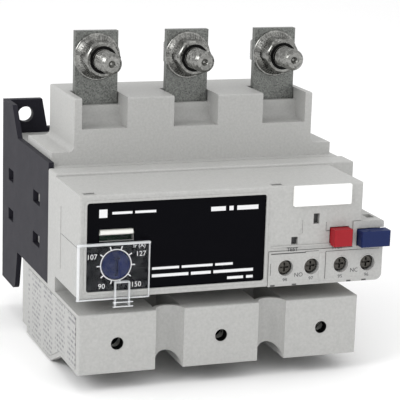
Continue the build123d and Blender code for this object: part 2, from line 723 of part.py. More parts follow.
# ---- current transformers ----
def ct_core(pole):
    depth = (CORE_WINDOW_FRONT - CORE_LEG, CORE_WINDOW_REAR + CORE_LEG)
    core = span(around(pole, CORE_WIDTH), depth, (CORE_FOOT, CORE_FOOT + CORE_HEIGHT))
    window_y = (CORE_WINDOW_FRONT, CORE_WINDOW_REAR)
    return core - span(around(pole, CORE_WINDOW_X), window_y, (CORE_FOOT - 1, CORE_FOOT + CORE_HEIGHT + 1))


def ct_coil(pole):
    """The secondary winding, wound round the front leg of its core."""
    leg = (CORE_WINDOW_FRONT - CORE_LEG, CORE_WINDOW_FRONT)
    height = (CORE_FOOT, CORE_FOOT + CORE_HEIGHT)
    outer_y = (leg[0] - COIL_BUILD, leg[1] + COIL_BUILD)
    outer_z = (height[0] - COIL_BUILD, height[1] + COIL_BUILD)
    coil = span(around(pole, COIL_WIDTH), outer_y, outer_z)
    coil = fillet(coil.edges().filter_by(Axis.X), COIL_BUILD / 2)
    return coil - span(around(pole, COIL_WIDTH + 2), leg, height)


def ct_pins():
    """Two pins from each winding to the sensor board."""
    coil_front = CORE_WINDOW_FRONT - CORE_LEG - COIL_BUILD
    board_rear = SENSOR_BOARD_FRONT + BOARD_THICKNESS
    middle = CORE_FOOT + CORE_HEIGHT / 2
    pins = []
    for pole in LINE_POLES:
        for side in (-1, 1):
            pins.append(rod_y(0.5, pole + side * COIL_WIDTH / 4, middle, board_rear, coil_front))
    return Compound(pins)


# ---- boards ----
def sensor_board():
    margin = WALL + BOARD_MARGIN
    width = (MID_LEFT + margin, MID_RIGHT - margin)
    depth = (SENSOR_BOARD_FRONT, SENSOR_BOARD_FRONT + BOARD_THICKNESS)
    return span(width, depth, (SHROUD_HEIGHT + FLOOR_THICKNESS + BOARD_MARGIN, BODY_TOP - margin))


def board_connector():
    x0, x1, z0, z1 = WIRING_WINDOW
    rear_of_main = MAIN_BOARD_FRONT + BOARD_THICKNESS
    return span((x0 + 3, x1 - 3), (rear_of_main, SENSOR_BOARD_FRONT), (z0 + 2, z1 - 2))


def main_board():
    margin = WALL + BOARD_MARGIN
    depth = (MAIN_BOARD_FRONT, MAIN_BOARD_FRONT + BOARD_THICKNESS)
    return span(
        (LEFT + margin, AUX_LEFT - BOARD_MARGIN), depth, (MODULE_BOTTOM + margin, MODULE_TOP - margin)
    )


def board_components():
    """A processor, a driver, a transformer and a row of capacitors on the rear of the main board."""
    rear = MAIN_BOARD_FRONT + BOARD_THICKNESS
    left = LEFT + WALL + BOARD_MARGIN
    foot = MODULE_BOTTOM + WALL + BOARD_MARGIN
    parts = [
        span((left + 4, left + 18), (rear, rear + 2.4), (foot + 16, foot + 30)),
        span((left + 22, left + 32), (rear, rear + 2.0), (foot + 18, foot + 24)),
        span((left + 22, left + 36), (rear, rear + 9.0), (foot + 2, foot + 12)),
    ]
    for count in range(3):
        parts.append(rod_y(3.0, left + 6 + 8 * count, foot + 7, rear, rear + 11.0))
    return Compound(parts)


# ---- front module ----
def label_limits():
    """The X and Z limits of the label's pocket in the front cover."""
    return (LEFT + RIM_LEFT, AUX_LEFT - RIM_LEFT / 2), (MODULE_BOTTOM + RIM_FOOT, MODULE_TOP - RIM_TOP)


def hinge_window_limits():
    left = LEFT + HINGE_WINDOW_INSET
    top = MODULE_TOP - HINGE_WINDOW_DROP
    return (left, left + HINGE_WINDOW_WIDTH), (top - HINGE_WINDOW_HEIGHT, top)


def dial_place():
    return LEFT + DIAL_INSET, MODULE_BOTTOM + DIAL_HEIGHT


def hinge_line():
    """The Y and Z of the clear cover's hinge."""
    return FRONT + HINGE_PIN_DEPTH, MODULE_TOP - HINGE_WINDOW_DROP - HINGE_PIN_DROP


def stop_place():
    return AUX_LEFT + STOP_OFFSET, MODULE_BOTTOM + STOP_LEVEL


def reset_place():
    right = MODULE_RIGHT + TOWER_RIGHT + RESET_OVERHANG
    return right - RESET_WIDTH / 2, MODULE_BOTTOM + RESET_LEVEL


def test_place():
    return AUX_LEFT + TEST_OFFSET, MODULE_BOTTOM + TEST_LEVEL


def flag_place():
    return AUX_LEFT + FLAG_OFFSET, MODULE_BOTTOM + FLAG_LEVEL


def aux_cut_out():
    """The space in the front cover that the terminal block fills."""
    strip_rear = FRONT + AUX_STRIP_DEPTH + SLIP
    strip_top = MODULE_BOTTOM + AUX_STRIP_HEIGHT + SLIP
    strip = span((AUX_LEFT, RIGHT), (FRONT - 1, strip_rear), (MODULE_BOTTOM - 1, strip_top))
    tower_x = (MODULE_RIGHT - TOWER_LEFT - SLIP, RIGHT)
    tower_rear = FRONT + TOWER_DEPTH + SLIP
    tower_top = MODULE_BOTTOM + TOWER_TOP + SLIP
    return strip + span(tower_x, (FRONT - 1, tower_rear), (MODULE_BOTTOM - 1, tower_top))


def front_cover():
    outer = span((LEFT, MODULE_RIGHT), (FRONT, MID_FRONT), (MODULE_BOTTOM, MODULE_TOP))
    outer = fillet(outer.edges().group_by(Axis.Y)[0], EDGE_RADIUS)
    inner = span(
        (LEFT + WALL, MODULE_RIGHT - WALL),
        (FRONT + WALL, MID_FRONT + 1),
        (MODULE_BOTTOM + WALL, MODULE_TOP - WALL),
    )
    cover = outer - inner
    pocket_x, pocket_z = label_limits()
    cover -= span(pocket_x, (FRONT - 1, FRONT + LABEL_RECESS), pocket_z)
    cover += hinge_bosses()
    window_x, window_z = hinge_window_limits()
    cover -= span(window_x, (FRONT - 1, FRONT + WALL + 6), window_z)
    hinge_y, hinge_z = hinge_line()
    cover -= rod_x(HINGE_PIN_RADIUS, hinge_y, hinge_z, window_x[0] - HINGE_BOSS, window_x[1] + HINGE_BOSS)
    dial_x, dial_z = dial_place()
    cover -= rod_y(DIAL_RADIUS + MOVING_GAP, dial_x, dial_z, FRONT - 1, FRONT + WALL + 1)
    cover -= aux_cut_out()
    return cover - cover_openings()


def hinge_bosses():
    """Two blocks behind the label pocket that hold the ends of the hinge pin."""
    window_x, window_z = hinge_window_limits()
    depth = (FRONT + LABEL_RECESS, FRONT + WALL + 1.5)
    left = span((window_x[0] - HINGE_BOSS - WALL / 2, window_x[0]), depth, window_z)
    right = span((window_x[1], window_x[1] + HINGE_BOSS + WALL / 2), depth, window_z)
    return left + right


def cover_openings():
    """Through openings beside the label: stop button, test plunger, trip flag and marker tag pegs."""
    through = (FRONT - 1, FRONT + WALL + 1)
    gap = 2 * MOVING_GAP
    x, z = stop_place()
    cut = span(around(x, STOP_WIDTH + gap), through, around(z, STOP_HEIGHT + gap))
    x, z = test_place()
    cut += span(around(x, TEST_WIDTH + gap), through, around(z, TEST_HEIGHT + gap))
    x, z = flag_place()
    cut += span(around(x, FLAG_WINDOW_WIDTH), through, around(z, FLAG_WINDOW_HEIGHT))
    for x, z in tag_peg_places():
        cut += span(around(x, PEG_WIDTH + LABEL_GAP), through, around(z, PEG_HEIGHT + LABEL_GAP))
    return cut


def front_label():
    pocket_x, pocket_z = label_limits()
    rear = FRONT + LABEL_RECESS
    depth = (rear - LABEL_THICKNESS, rear)
    plate = span(
        (pocket_x[0] + LABEL_GAP, pocket_x[1] - LABEL_GAP),
        depth,
        (pocket_z[0] + LABEL_GAP, pocket_z[1] - LABEL_GAP),
    )
    plate = fillet(plate.edges().filter_by(Axis.Y), LABEL_CORNER)
    window_x, window_z = hinge_window_limits()
    plate -= span(window_x, (FRONT - 1, rear + 1), window_z)
    dial_x, dial_z = dial_place()
    return plate - rod_y(DIAL_RADIUS + MOVING_GAP, dial_x, dial_z, FRONT - 1, rear + 1)


def tag_peg_places():
    middle = MODULE_TOP - TAG_HEIGHT / 2
    left = AUX_LEFT + TAG_OFFSET
    return [(left + 3.0, middle), (left + TAG_WIDTH - 3.0, middle)]


def marker_tag():
    left = AUX_LEFT + TAG_OFFSET
    top = MODULE_TOP - 0.1
    tag = span((left, left + TAG_WIDTH), (FRONT - TAG_THICKNESS, FRONT), (top - TAG_HEIGHT, top))
    tag = fillet(tag.edges().filter_by(Axis.Y), 0.5)
    for x, z in tag_peg_places():
        tag += span(around(x, PEG_WIDTH), (FRONT, FRONT + WALL), around(z, PEG_HEIGHT))
    return tag


# ---- clear cover and its hinge ----
def clear_cover():
    inside = FRONT - COVER_STAND_OFF
    outside = inside - COVER_THICKNESS
    left = LEFT - COVER_SIDE_GAP - COVER_THICKNESS
    right = LEFT - COVER_SIDE_GAP + COVER_WIDTH
    hinge_y, hinge_z = hinge_line()
    window_x, window_z = hinge_window_limits()
    arm_top = hinge_z - HINGE_ARM_DROP
    arm_foot = arm_top - HINGE_ARM_THICKNESS
    foot = MODULE_BOTTOM - COVER_OVERHANG
    top = window_z[0] - COVER_OVERHANG
    cover = span((left, right), (outside, inside), (foot, top))
    cover += span((left, left + COVER_THICKNESS), (outside, FRONT + COVER_FLANGE_DEPTH), (foot, top))
    cover += span((left, right), (outside - 0.6, outside), (top - 0.8, top))
    tongue_x = (window_x[0] + MOVING_GAP, window_x[1] - MOVING_GAP)
    cover += span(tongue_x, (outside, inside), (top - 1, arm_top))
    cover += span(tongue_x, (outside, hinge_y + HINGE_KNUCKLE_RADIUS / 2), (arm_foot, arm_top))
    web_y = around(hinge_y, HINGE_KNUCKLE_RADIUS)
    cover += span(tongue_x, web_y, (arm_foot, hinge_z))
    cover += rod_x(HINGE_KNUCKLE_RADIUS, hinge_y, hinge_z, *tongue_x)
    cover -= rod_x(HINGE_PIN_RADIUS + RUNNING_GAP, hinge_y, hinge_z, window_x[0] - 1, window_x[1] + 1)
    return cover + cover_latch(inside, outside, foot)


def cover_latch(inside, outside, foot):
    """The raised tab with a seal eye that hangs below the clear cover's lower edge."""
    centre = LEFT + LATCH_CENTRE_INSET
    tab_foot = foot - LATCH_FOOT_DROP
    tab = span(around(centre, LATCH_WIDTH - 2.0), (outside - 1.0, inside), (tab_foot, foot + 6.5))
    tab -= span(around(centre, LATCH_WIDTH - 4.4), (outside - 2.0, outside), (foot + 1.0, foot + 5.5))
    eye = span(around(centre, LATCH_WIDTH), (outside - 1.6, inside), (tab_foot, tab_foot + 2.0))
    return tab + eye - span(around(centre, LATCH_WIDTH - 3.4), (outside - 0.8, inside - 0.3), (tab_foot - 1, foot - 0.4))


def cover_hinge_pin():
    hinge_y, hinge_z = hinge_line()
    window_x, _ = hinge_window_limits()
    return rod_x(HINGE_PIN_RADIUS, hinge_y, hinge_z, window_x[0] - HINGE_BOSS, window_x[1] + HINGE_BOSS)


# ---- setting dial ----
def setting_dial():
    x, z = dial_place()
    disc = rod_y(DIAL_RADIUS, x, z, FRONT, FRONT + DIAL_THICKNESS)
    disc = chamfer(disc.edges().group_by(Axis.Y)[0], 0.35)
    shaft_end = FRONT + DIAL_THICKNESS + DIAL_SHAFT_LENGTH
    disc += rod_y(DIAL_SHAFT_RADIUS, x, z, FRONT + DIAL_THICKNESS, shaft_end)
    slot_z = around(z, DIAL_SLOT_LENGTH)
    disc -= span(around(x, DIAL_SLOT_WIDTH), (FRONT - 1, FRONT + DIAL_SLOT_DEPTH), slot_z)
    pointer = [(x - 1.5, z + 2.2), (x + 1.5, z + 2.2), (x, z + 4.6)]
    return disc - along_y(pointer, FRONT - 1, FRONT + DIAL_SLOT_DEPTH)


def potentiometer():
    x, z = dial_place()
    front = FRONT + DIAL_THICKNESS + MOVING_GAP
    body = span(around(x, 9.5), (front, MAIN_BOARD_FRONT), around(z, 9.5))
    bore_end = FRONT + DIAL_THICKNESS + DIAL_SHAFT_LENGTH + MOVING_GAP
    return body - rod_y(DIAL_SHAFT_RADIUS + RUNNING_GAP, x, z, front - 1, bore_end)


# ---- auxiliary terminal block ----
def terminal_places():
    return [(AUX_LEFT + offset, MODULE_BOTTOM + TERMINAL_HEIGHT) for offset in TERMINAL_OFFSETS]


def aux_terminal_block():
    front = FRONT - AUX_PROUD
    right = MODULE_RIGHT + TOWER_RIGHT
    strip_top = MODULE_BOTTOM + AUX_STRIP_HEIGHT
    block = span((AUX_LEFT + SLIP, right), (front, FRONT + AUX_STRIP_DEPTH), (MODULE_BOTTOM, strip_top))
    tower_left = MODULE_RIGHT - TOWER_LEFT
    tower_top = MODULE_BOTTOM + TOWER_TOP
    block += span((tower_left, right), (front, FRONT + TOWER_DEPTH), (MODULE_BOTTOM, tower_top))
    block = fillet(deep_edges(block, right, MODULE_BOTTOM), 2.5)
    block = fillet(deep_edges(block, right, tower_top), 1.0)
    chamber_top = strip_top - WALL
    for x, z in terminal_places():
        chamber_y = (FRONT + CHAMBER_FRONT_WALL, FRONT + AUX_STRIP_DEPTH + 1)
        block -= span(around(x, CHAMBER_WIDTH), chamber_y, (MODULE_BOTTOM - 1, chamber_top))
        block -= rod_y(TERMINAL_RECESS_RADIUS, x, z, front - 1, FRONT + CHAMBER_FRONT_WALL + 1)
    inner_top = tower_top - WALL
    block -= span(
        (tower_left - 1, right - WALL), (CARRIER_FRONT - 5, FRONT + TOWER_DEPTH + 1), (strip_top, inner_top)
    )
    block -= span(
        (tower_left - 1, right - WALL), (FRONT + AUX_STRIP_DEPTH, 0), (MODULE_BOTTOM + WALL, inner_top)
    )
    block -= reset_pocket()
    slot_x = around(right - 3.4, 3.0)
    return block - span(slot_x, (FRONT + 4, FRONT + 9), (tower_top - 1.2, tower_top + 1))


def reset_pocket():
    """The corner pocket, stem hole and spring seat that the reset button moves in."""
    x, z = reset_place()
    right = MODULE_RIGHT + TOWER_RIGHT
    depth = FRONT + RESET_TRAVEL + MOVING_GAP
    pocket_x = (x - RESET_WIDTH / 2 - MOVING_GAP, right + 1)
    pocket = span(pocket_x, (FRONT - 2, depth), around(z, RESET_HEIGHT + 2 * MOVING_GAP))
    pocket += rod_y(BUTTON_STEM_RADIUS + 1.1, x, z, FRONT, FRONT + 7.0)
    return pocket + rod_y(BUTTON_STEM_RADIUS + SLIP, x, z, FRONT, CARRIER_FRONT)


def aux_terminal_screws():
    group = []
    head_front = FRONT + AUX_SCREW_SINK
    for x, z in terminal_places():
        head = rod_y(AUX_SCREW_HEAD_RADIUS, x, z, head_front, head_front + AUX_SCREW_HEAD)
        head = fillet(head.edges().group_by(Axis.Y)[0], 0.5)
        shank_end = head_front + AUX_SCREW_HEAD + AUX_SCREW_LENGTH
        shank = rod_y(AUX_SCREW_RADIUS, x, z, head_front + AUX_SCREW_HEAD, shank_end)
        slot_y = (head_front - 1, head_front + 1.0)
        cross = span(around(x, 3.4), slot_y, around(z, 0.7)) + span(around(x, 0.7), slot_y, around(z, 3.4))
        group.append(head + shank - cross)
    return Compound(group)


def aux_saddle_plates():
    """The pressed plate under each terminal screw's head."""
    front = FRONT + AUX_SCREW_SINK + AUX_SCREW_HEAD + 0.4
    plates = []
    for x, z in terminal_places():
        plate = span(around(x, CHAMBER_WIDTH - 1.0), (front, front + SADDLE_THICKNESS), (z - 5.0, z + 3.8))
        plates.append(plate - rod_y(AUX_SCREW_RADIUS + SLIP, x, z, front - 1, front + 2))
    return Compound(plates)


def terminal_strip(x, z):
    """A terminal plate under its screw, with a tail that rises behind the block to the fixed contact."""
    plate_front = FRONT + AUX_SCREW_SINK + AUX_SCREW_HEAD + 6.5
    plate_rear = plate_front + STRIP_PLATE
    plate = span(around(x, CHAMBER_WIDTH - 0.8), (plate_front, plate_rear), (z - 5.0, z + 3.6))
    plate -= rod_y(AUX_SCREW_RADIUS + RUNNING_GAP, x, z, plate_front - 1, plate_rear + 1)
    contact_rear = CONTACT_PLANE + CONTACT_THICKNESS
    tail = span(around(x, STRIP_TAIL_WIDTH), (plate_front, contact_rear), (z + 2.6, z + 3.6))
    riser = span(around(x, STRIP_TAIL_WIDTH), (CONTACT_PLANE, contact_rear), (z + 2.6, CARRIER_TOP - 2.5))
    return plate + tail + riser


# ---- push buttons and springs ----
def hollow_button(x, z, width, height, front, rear):
    """A cap that is hollow behind its face, on a round stem."""
    cap = span(around(x, width), (front, rear), around(z, height))
    cap = fillet(cap.edges().group_by(Axis.Y)[0], 0.5)
    hollow = rod_y(BUTTON_STEM_RADIUS + 1.1, x, z, front + 1.5, rear + 1)
    return cap - hollow


def stop_button():
    x, z = stop_place()
    front = FRONT - STOP_PROUD
    cap = hollow_button(x, z, STOP_WIDTH, STOP_HEIGHT, front, FRONT + BUTTON_SKIRT)
    stem_end = FRAME_FRONT + FRAME_THICKNESS + 1.2
    stem = rod_y(BUTTON_STEM_RADIUS, x, z, front + 1.0, stem_end)
    clip = rod_y(BUTTON_STEM_RADIUS + 0.8, x, z, FRAME_FRONT + FRAME_THICKNESS + SLIP, stem_end)
    return cap + stem + clip


def reset_button():
    x, z = reset_place()
    front = FRONT - RESET_PROUD
    cap = hollow_button(x, z, RESET_WIDTH, RESET_HEIGHT, front, FRONT)
    boss_x = x - RESET_WIDTH / 2 + RESET_HEIGHT / 2
    boss = rod_y(RESET_HEIGHT / 2 + SLIP, boss_x, z, front + 1.0, FRONT - 1.2)
    stem = rod_y(BUTTON_STEM_RADIUS, x, z, front + 1.0, CARRIER_FRONT - TRIP_TRAVEL - RESET_TRAVEL - MOVING_GAP)
    hollow = rod_y(BUTTON_STEM_RADIUS + 1.1, x, z, front + 1.5, FRONT + 1)
    return cap + (boss - hollow) + stem


def test_plunger():
    x, z = test_place()
    front = FRONT + TEST_SINK
    collar_front = FRONT + WALL + MOVING_GAP
    head = span(around(x, TEST_WIDTH), (front, collar_front), around(z, TEST_HEIGHT))
    collar = rod_y(1.8, x, z, collar_front, collar_front + 0.8)
    stem = rod_y(0.9, x, z, collar_front, CARRIER_FRONT - TRIP_TRAVEL - TEST_TRAVEL - MOVING_GAP)
    return head + collar + stem


def stop_spring():
    x, z = stop_place()
    start = FRONT - STOP_PROUD + 1.5 + CONTACT_GAP
    return coil_spring(BUTTON_STEM_RADIUS + 0.6, 5, x, z, start, FRAME_FRONT - CONTACT_GAP)


def reset_spring():
    x, z = reset_place()
    start = FRONT - RESET_PROUD + 1.5 + CONTACT_GAP
    return coil_spring(BUTTON_STEM_RADIUS + 0.6, 5, x, z, start, FRONT + 7.0 - CONTACT_GAP)


def test_spring():
    x, z = test_place()
    start = FRONT + WALL + MOVING_GAP + 0.8 + CONTACT_GAP
    return coil_spring(1.4, 3, x, z, start, FRAME_FRONT - CONTACT_GAP)


# ---- trip mechanism ----
def lever_limits():
    """The X limits of the trip lever, centred between the test plunger and the stop button."""
    centre = AUX_LEFT + 22.0
    return around(centre, 12.0)


def mechanism_frame():
    """A moulded plate that guides the button stems and carries the lever pin and the trip magnet."""
    left = AUX_LEFT + 2.0
    right = MODULE_RIGHT - WALL - BOARD_MARGIN
    foot = MODULE_BOTTOM + AUX_STRIP_HEIGHT + 0.6
    top = MODULE_TOP - WALL - BOARD_MARGIN
    plate_rear = FRAME_FRONT + FRAME_THICKNESS
    tower_left = MODULE_RIGHT - TOWER_LEFT - 2 * SLIP
    frame = span((left, right), (FRAME_FRONT, plate_rear), (MODULE_BOTTOM + TOWER_TOP + 1, top))
    frame += span((left, tower_left), (FRAME_FRONT, plate_rear), (foot, top))
    lever_x = lever_limits()
    shelf_foot = LEVER_PIN_Z - 1.8
    ear_rear = MID_FRONT - 3.0
    for inner, outer in ((lever_x[0] - 0.5, lever_x[0] - 2.0), (lever_x[1] + 0.5, lever_x[1] + 2.0)):
        ear_x = sorted((inner, outer))
        frame += span(ear_x, (plate_rear, ear_rear), (shelf_foot, LEVER_PIN_Z + 2.5))
    shelf_x = (lever_x[0] - 2.0, lever_x[1] + 2.0)
    frame += span(shelf_x, (CONTACT_PLANE + 0.8, ear_rear), (shelf_foot, LEVER_PIN_Z + 0.2))
    frame -= rod_x(LEVER_PIN_RADIUS, LEVER_PIN_Y, LEVER_PIN_Z, shelf_x[0] - 1, shelf_x[1] + 1)
    x, z = stop_place()
    frame -= rod_y(BUTTON_STEM_RADIUS + SLIP, x, z, FRAME_FRONT - 1, plate_rear + 1)
    x, z = test_place()
    return frame - rod_y(0.9 + SLIP, x, z, FRAME_FRONT - 1, plate_rear + 1)


def lever_pin():
    lever_x = lever_limits()
    return rod_x(LEVER_PIN_RADIUS, LEVER_PIN_Y, LEVER_PIN_Z, lever_x[0] - 2.0, lever_x[1] + 2.0)


def trip_lever():
    """The armature lever: attracted above its pin, it pushes the contact carrier forward below it."""
    lever_x = lever_limits()
    depth = around(LEVER_PIN_Y, LEVER_THICKNESS)
    lever = rod_x(LEVER_HUB_RADIUS, LEVER_PIN_Y, LEVER_PIN_Z, *lever_x)
    lever += span(lever_x, depth, (LEVER_PIN_Z, LEVER_PIN_Z + 8.5))
    lever += span(around(sum(lever_x) / 2, 4.0), depth, (CARRIER_TOP - 1.0, LEVER_PIN_Z))
    return lever - rod_x(LEVER_PIN_RADIUS + RUNNING_GAP, LEVER_PIN_Y, LEVER_PIN_Z, lever_x[0] - 1, lever_x[1] + 1)


def magnet_yoke():
    """The soft-iron yoke and core of the trip magnet, behind the lever."""
    lever_x = lever_limits()
    front = CONTACT_PLANE
    rear = MID_FRONT - 3.0
    foot = LEVER_PIN_Z + 0.2
    top = LEVER_PIN_Z + 9.5
    centre = sum(lever_x) / 2
    yoke = span(lever_x, (rear - 1.2, rear), (foot, top))
    for side in lever_x:
        leg_x = (side, side + 1.2) if side < centre else (side - 1.2, side)
        yoke += span(leg_x, (front, rear), (foot, top))
    return yoke + rod_y(1.8, centre, (foot + top) / 2, front, rear)


def magnet_coil():
    lever_x = lever_limits()
    centre = sum(lever_x) / 2
    middle = LEVER_PIN_Z + 4.85
    depth = (CONTACT_PLANE + 0.8, MID_FRONT - 4.4)
    return rod_y(4.5, centre, middle, *depth) - rod_y(1.9, centre, middle, depth[0] - 1, depth[1] + 1)


def contact_pair(first, second):
    """The X limits that a bridge needs to reach both of its fixed contacts."""
    places = terminal_places()
    return places[first][0] - 1.2, places[second][0] + 1.2


def contact_carrier():
    """The sliding bar that holds both bridges, one behind and one in front of the fixed contacts."""
    no_x = contact_pair(0, 1)
    nc_x = contact_pair(2, 3)
    bar = span((no_x[0], nc_x[1] - 2.0), (CARRIER_FRONT, CARRIER_REAR), (CARRIER_FOOT, CARRIER_TOP))
    no_rear = CONTACT_PLANE + CONTACT_THICKNESS + CONTACT_GAP + TRIP_TRAVEL
    bar += span(around(sum(no_x) / 2, 1.6), (CARRIER_REAR, no_rear), (CARRIER_FOOT, CARRIER_FOOT + 1.5))
    nc_front = CONTACT_PLANE - CONTACT_GAP - CONTACT_THICKNESS
    return bar + span(around(sum(nc_x) / 2, 1.6), (CARRIER_REAR, nc_front), (CARRIER_FOOT, CARRIER_FOOT + 1.5))


def no_contact_bridge():
    front = CONTACT_PLANE + CONTACT_THICKNESS + CONTACT_GAP + TRIP_TRAVEL
    return span(contact_pair(0, 1), (front, front + CONTACT_THICKNESS), (CARRIER_FOOT, CARRIER_FOOT + 1.8))


def nc_contact_bridge():
    rear = CONTACT_PLANE - CONTACT_GAP
    return span(contact_pair(2, 3), (rear - CONTACT_THICKNESS, rear), (CARRIER_FOOT, CARRIER_FOOT + 1.8))


def trip_flag():
    """The two-colour flag that slides behind its window, on an arm from the mechanism."""
    x, z = flag_place()
    front = FRONT + WALL + MOVING_GAP
    return span(around(x, FLAG_WINDOW_WIDTH + 2.0), (front, front + 0.8), (z - 3.2, z + 5.2))


# ---- rating label on the left side of the shroud ----
def side_label():
    margin = 3.0
    outline = [
        (FRONT + margin, SHROUD_HEIGHT - margin / 2),
        (FRONT + margin, SHROUD_TOE + margin / 2),
        (FRONT + TOE_LENGTH + 1, SHROUD_TOE + margin / 2),
        (BAY_FLOOR_FRONT + 1, margin / 2),
        (SHROUD_HEEL - margin, margin / 2),
        (SHROUD_HEEL - margin, SHROUD_HEIGHT - margin / 2),
    ]
    return along_x(outline, LEFT - SIDE_LABEL_THICKNESS, LEFT)


def pieces():
    """Every piece by its name."""
    named = {
        "rear_base": rear_base(),
        "base_screws": base_screws(),
        "upper_housing": upper_housing(),
        "floor_plate": floor_plate(),
        "lower_housing": lower_housing(),
        "shroud_screws": shroud_screws(),
        "side_label": side_label(),
        "line_bolts": line_bolts(),
        "line_nuts": line_nuts(),
        "line_lock_washers": line_lock_washers(),
        "line_flat_washers": line_flat_washers(),
        "load_clamp_screws": load_clamp_screws(),
        "load_pressure_plates": load_pressure_plates(),
        "ct_pins": ct_pins(),
        "sensor_board": sensor_board(),
        "board_connector": board_connector(),
        "main_board": main_board(),
        "board_components": board_components(),
        "front_cover": front_cover(),
        "front_label": front_label(),
        "marker_tag": marker_tag(),
        "clear_cover": clear_cover(),
        "cover_hinge_pin": cover_hinge_pin(),
        "setting_dial": setting_dial(),
        "potentiometer": potentiometer(),
        "aux_terminal_block": aux_terminal_block(),
        "aux_terminal_screws": aux_terminal_screws(),
        "aux_saddle_plates": aux_saddle_plates(),
        "stop_button": stop_button(),
        "stop_spring": stop_spring(),
        "reset_button": reset_button(),
        "reset_spring": reset_spring(),
        "test_plunger": test_plunger(),
        "test_spring": test_spring(),
        "mechanism_frame": mechanism_frame(),
        "lever_pin": lever_pin(),
        "trip_lever": trip_lever(),
        "magnet_yoke": magnet_yoke(),
        "magnet_coil": magnet_coil(),
        "contact_carrier": contact_carrier(),
        "no_contact_bridge": no_contact_bridge(),
        "nc_contact_bridge": nc_contact_bridge(),
        "trip_flag": trip_flag(),
    }
    for name, line_x, load_x in zip(POLE_NAMES, LINE_POLES, LOAD_POLES):
        named[f"busbar_{name}"] = busbar(line_x, load_x)
        named[f"load_clamp_{name}"] = load_clamp(load_x)
        named[f"ct_core_{name}"] = ct_core(line_x)
        named[f"ct_coil_{name}"] = ct_coil(line_x)
    for number, (x, z) in zip(TERMINAL_NUMBERS, terminal_places()):
        named[f"terminal_{number}"] = terminal_strip(x, z)
    return named


def save_all():
    os.makedirs("parts", exist_ok=True)
    for name, shape in pieces().items():
        export_step(Pos(0, 0, -ORIGIN_HEIGHT) * shape, f"parts/{name}.step")


save_all()
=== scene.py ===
# %% [markdown]
# # Finishing a motor-protection relay
# The relay bolts under a motor's contactor. Three plated tabs bring the current in at the top, a black
# label and a blue dial face the user, and three shrouded bays at the foot take the motor's cables. The
# solid parts come ready-made from the frame, and this notebook gives them their finishes and adds the
# small moulded and printed detail.

# %% Load the frame
import bpy
import json
import math
from mathutils import Matrix, Vector


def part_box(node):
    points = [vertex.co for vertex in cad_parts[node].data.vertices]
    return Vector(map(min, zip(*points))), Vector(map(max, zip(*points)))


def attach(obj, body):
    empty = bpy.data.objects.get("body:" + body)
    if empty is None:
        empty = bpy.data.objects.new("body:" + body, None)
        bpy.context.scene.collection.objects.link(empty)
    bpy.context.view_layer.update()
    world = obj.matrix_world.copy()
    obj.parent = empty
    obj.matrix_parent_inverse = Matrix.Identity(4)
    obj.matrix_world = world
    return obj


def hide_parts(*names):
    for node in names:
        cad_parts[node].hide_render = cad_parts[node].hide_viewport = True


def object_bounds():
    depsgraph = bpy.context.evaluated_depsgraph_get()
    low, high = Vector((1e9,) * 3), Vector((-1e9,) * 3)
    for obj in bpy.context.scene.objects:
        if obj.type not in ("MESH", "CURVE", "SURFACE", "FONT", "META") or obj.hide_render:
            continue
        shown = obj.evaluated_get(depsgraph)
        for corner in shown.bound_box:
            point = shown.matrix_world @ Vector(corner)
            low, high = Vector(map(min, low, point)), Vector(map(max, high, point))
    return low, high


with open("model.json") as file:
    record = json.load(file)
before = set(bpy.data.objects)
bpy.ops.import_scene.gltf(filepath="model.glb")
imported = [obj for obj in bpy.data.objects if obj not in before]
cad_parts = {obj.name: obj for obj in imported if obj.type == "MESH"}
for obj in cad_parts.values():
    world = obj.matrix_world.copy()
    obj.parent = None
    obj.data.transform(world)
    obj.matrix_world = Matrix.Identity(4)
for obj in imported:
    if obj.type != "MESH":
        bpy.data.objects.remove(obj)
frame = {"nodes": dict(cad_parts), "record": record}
cad_low, cad_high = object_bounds()
MM = 0.001
FOOT = cad_low.z / MM
print("frame size in mm:", [round(v / MM, 1) for v in cad_high - cad_low])

# %% [markdown]
# ## Places taken from the frame
# Every added piece sits on a part that is already there, so its place is read from that part's box.
# Heights are counted in millimetres from the relay's lowest edge, which keeps the numbers easy to compare
# with a ruler.

# %% Read the places
def limits(node):
    """The low and high corners of a part in millimetres, its heights counted from the relay's lowest edge."""
    low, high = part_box(node)
    shift = Vector((0, 0, FOOT))
    return low / MM - shift, high / MM - shift


cover_low, cover_high = limits("front_cover")
label_low, label_high = limits("front_label")
dial_low, dial_high = limits("setting_dial")
strip_low, strip_high = limits("aux_terminal_block")
FACE = cover_low.y
LABEL_FACE = label_low.y
DIAL_X, DIAL_Z = (dial_low.x + dial_high.x) / 2, (dial_low.z + dial_high.z) / 2
POLES = ("left", "centre", "right")
studs = {m["name"]: m["pos_m"] for m in frame["record"]["mounts"] if m["name"].startswith("line_stud_")}
STUD_X = [studs[f"line_stud_{p}"][0] / MM for p in POLES]
STUD_Z = studs["line_stud_left"][2] / MM - FOOT
BAY_X = [(limits(f"load_clamp_{p}")[0].x + limits(f"load_clamp_{p}")[1].x) / 2 for p in POLES]
print("face at", round(FACE, 1), "dial at", round(DIAL_X, 1), round(DIAL_Z, 1))
print("studs at", [round(x, 1) for x in STUD_X])

# %% [markdown]
# ## Hands for modelling
# These small helpers do what a hand does in the window: clear the selection, pick faces by where they
# are, and leave the finished mesh at the origin with its place held in its points.

# %% Selection and finishing helpers
def put_down():
    """Leaves edit mode and deselects everything."""
    if bpy.context.object and bpy.context.object.mode != "OBJECT":
        bpy.ops.object.mode_set(mode="OBJECT")
    bpy.ops.object.select_all(action="DESELECT")


def pick_up(piece):
    put_down()
    piece.select_set(True)
    bpy.context.view_layer.objects.active = piece
    return piece


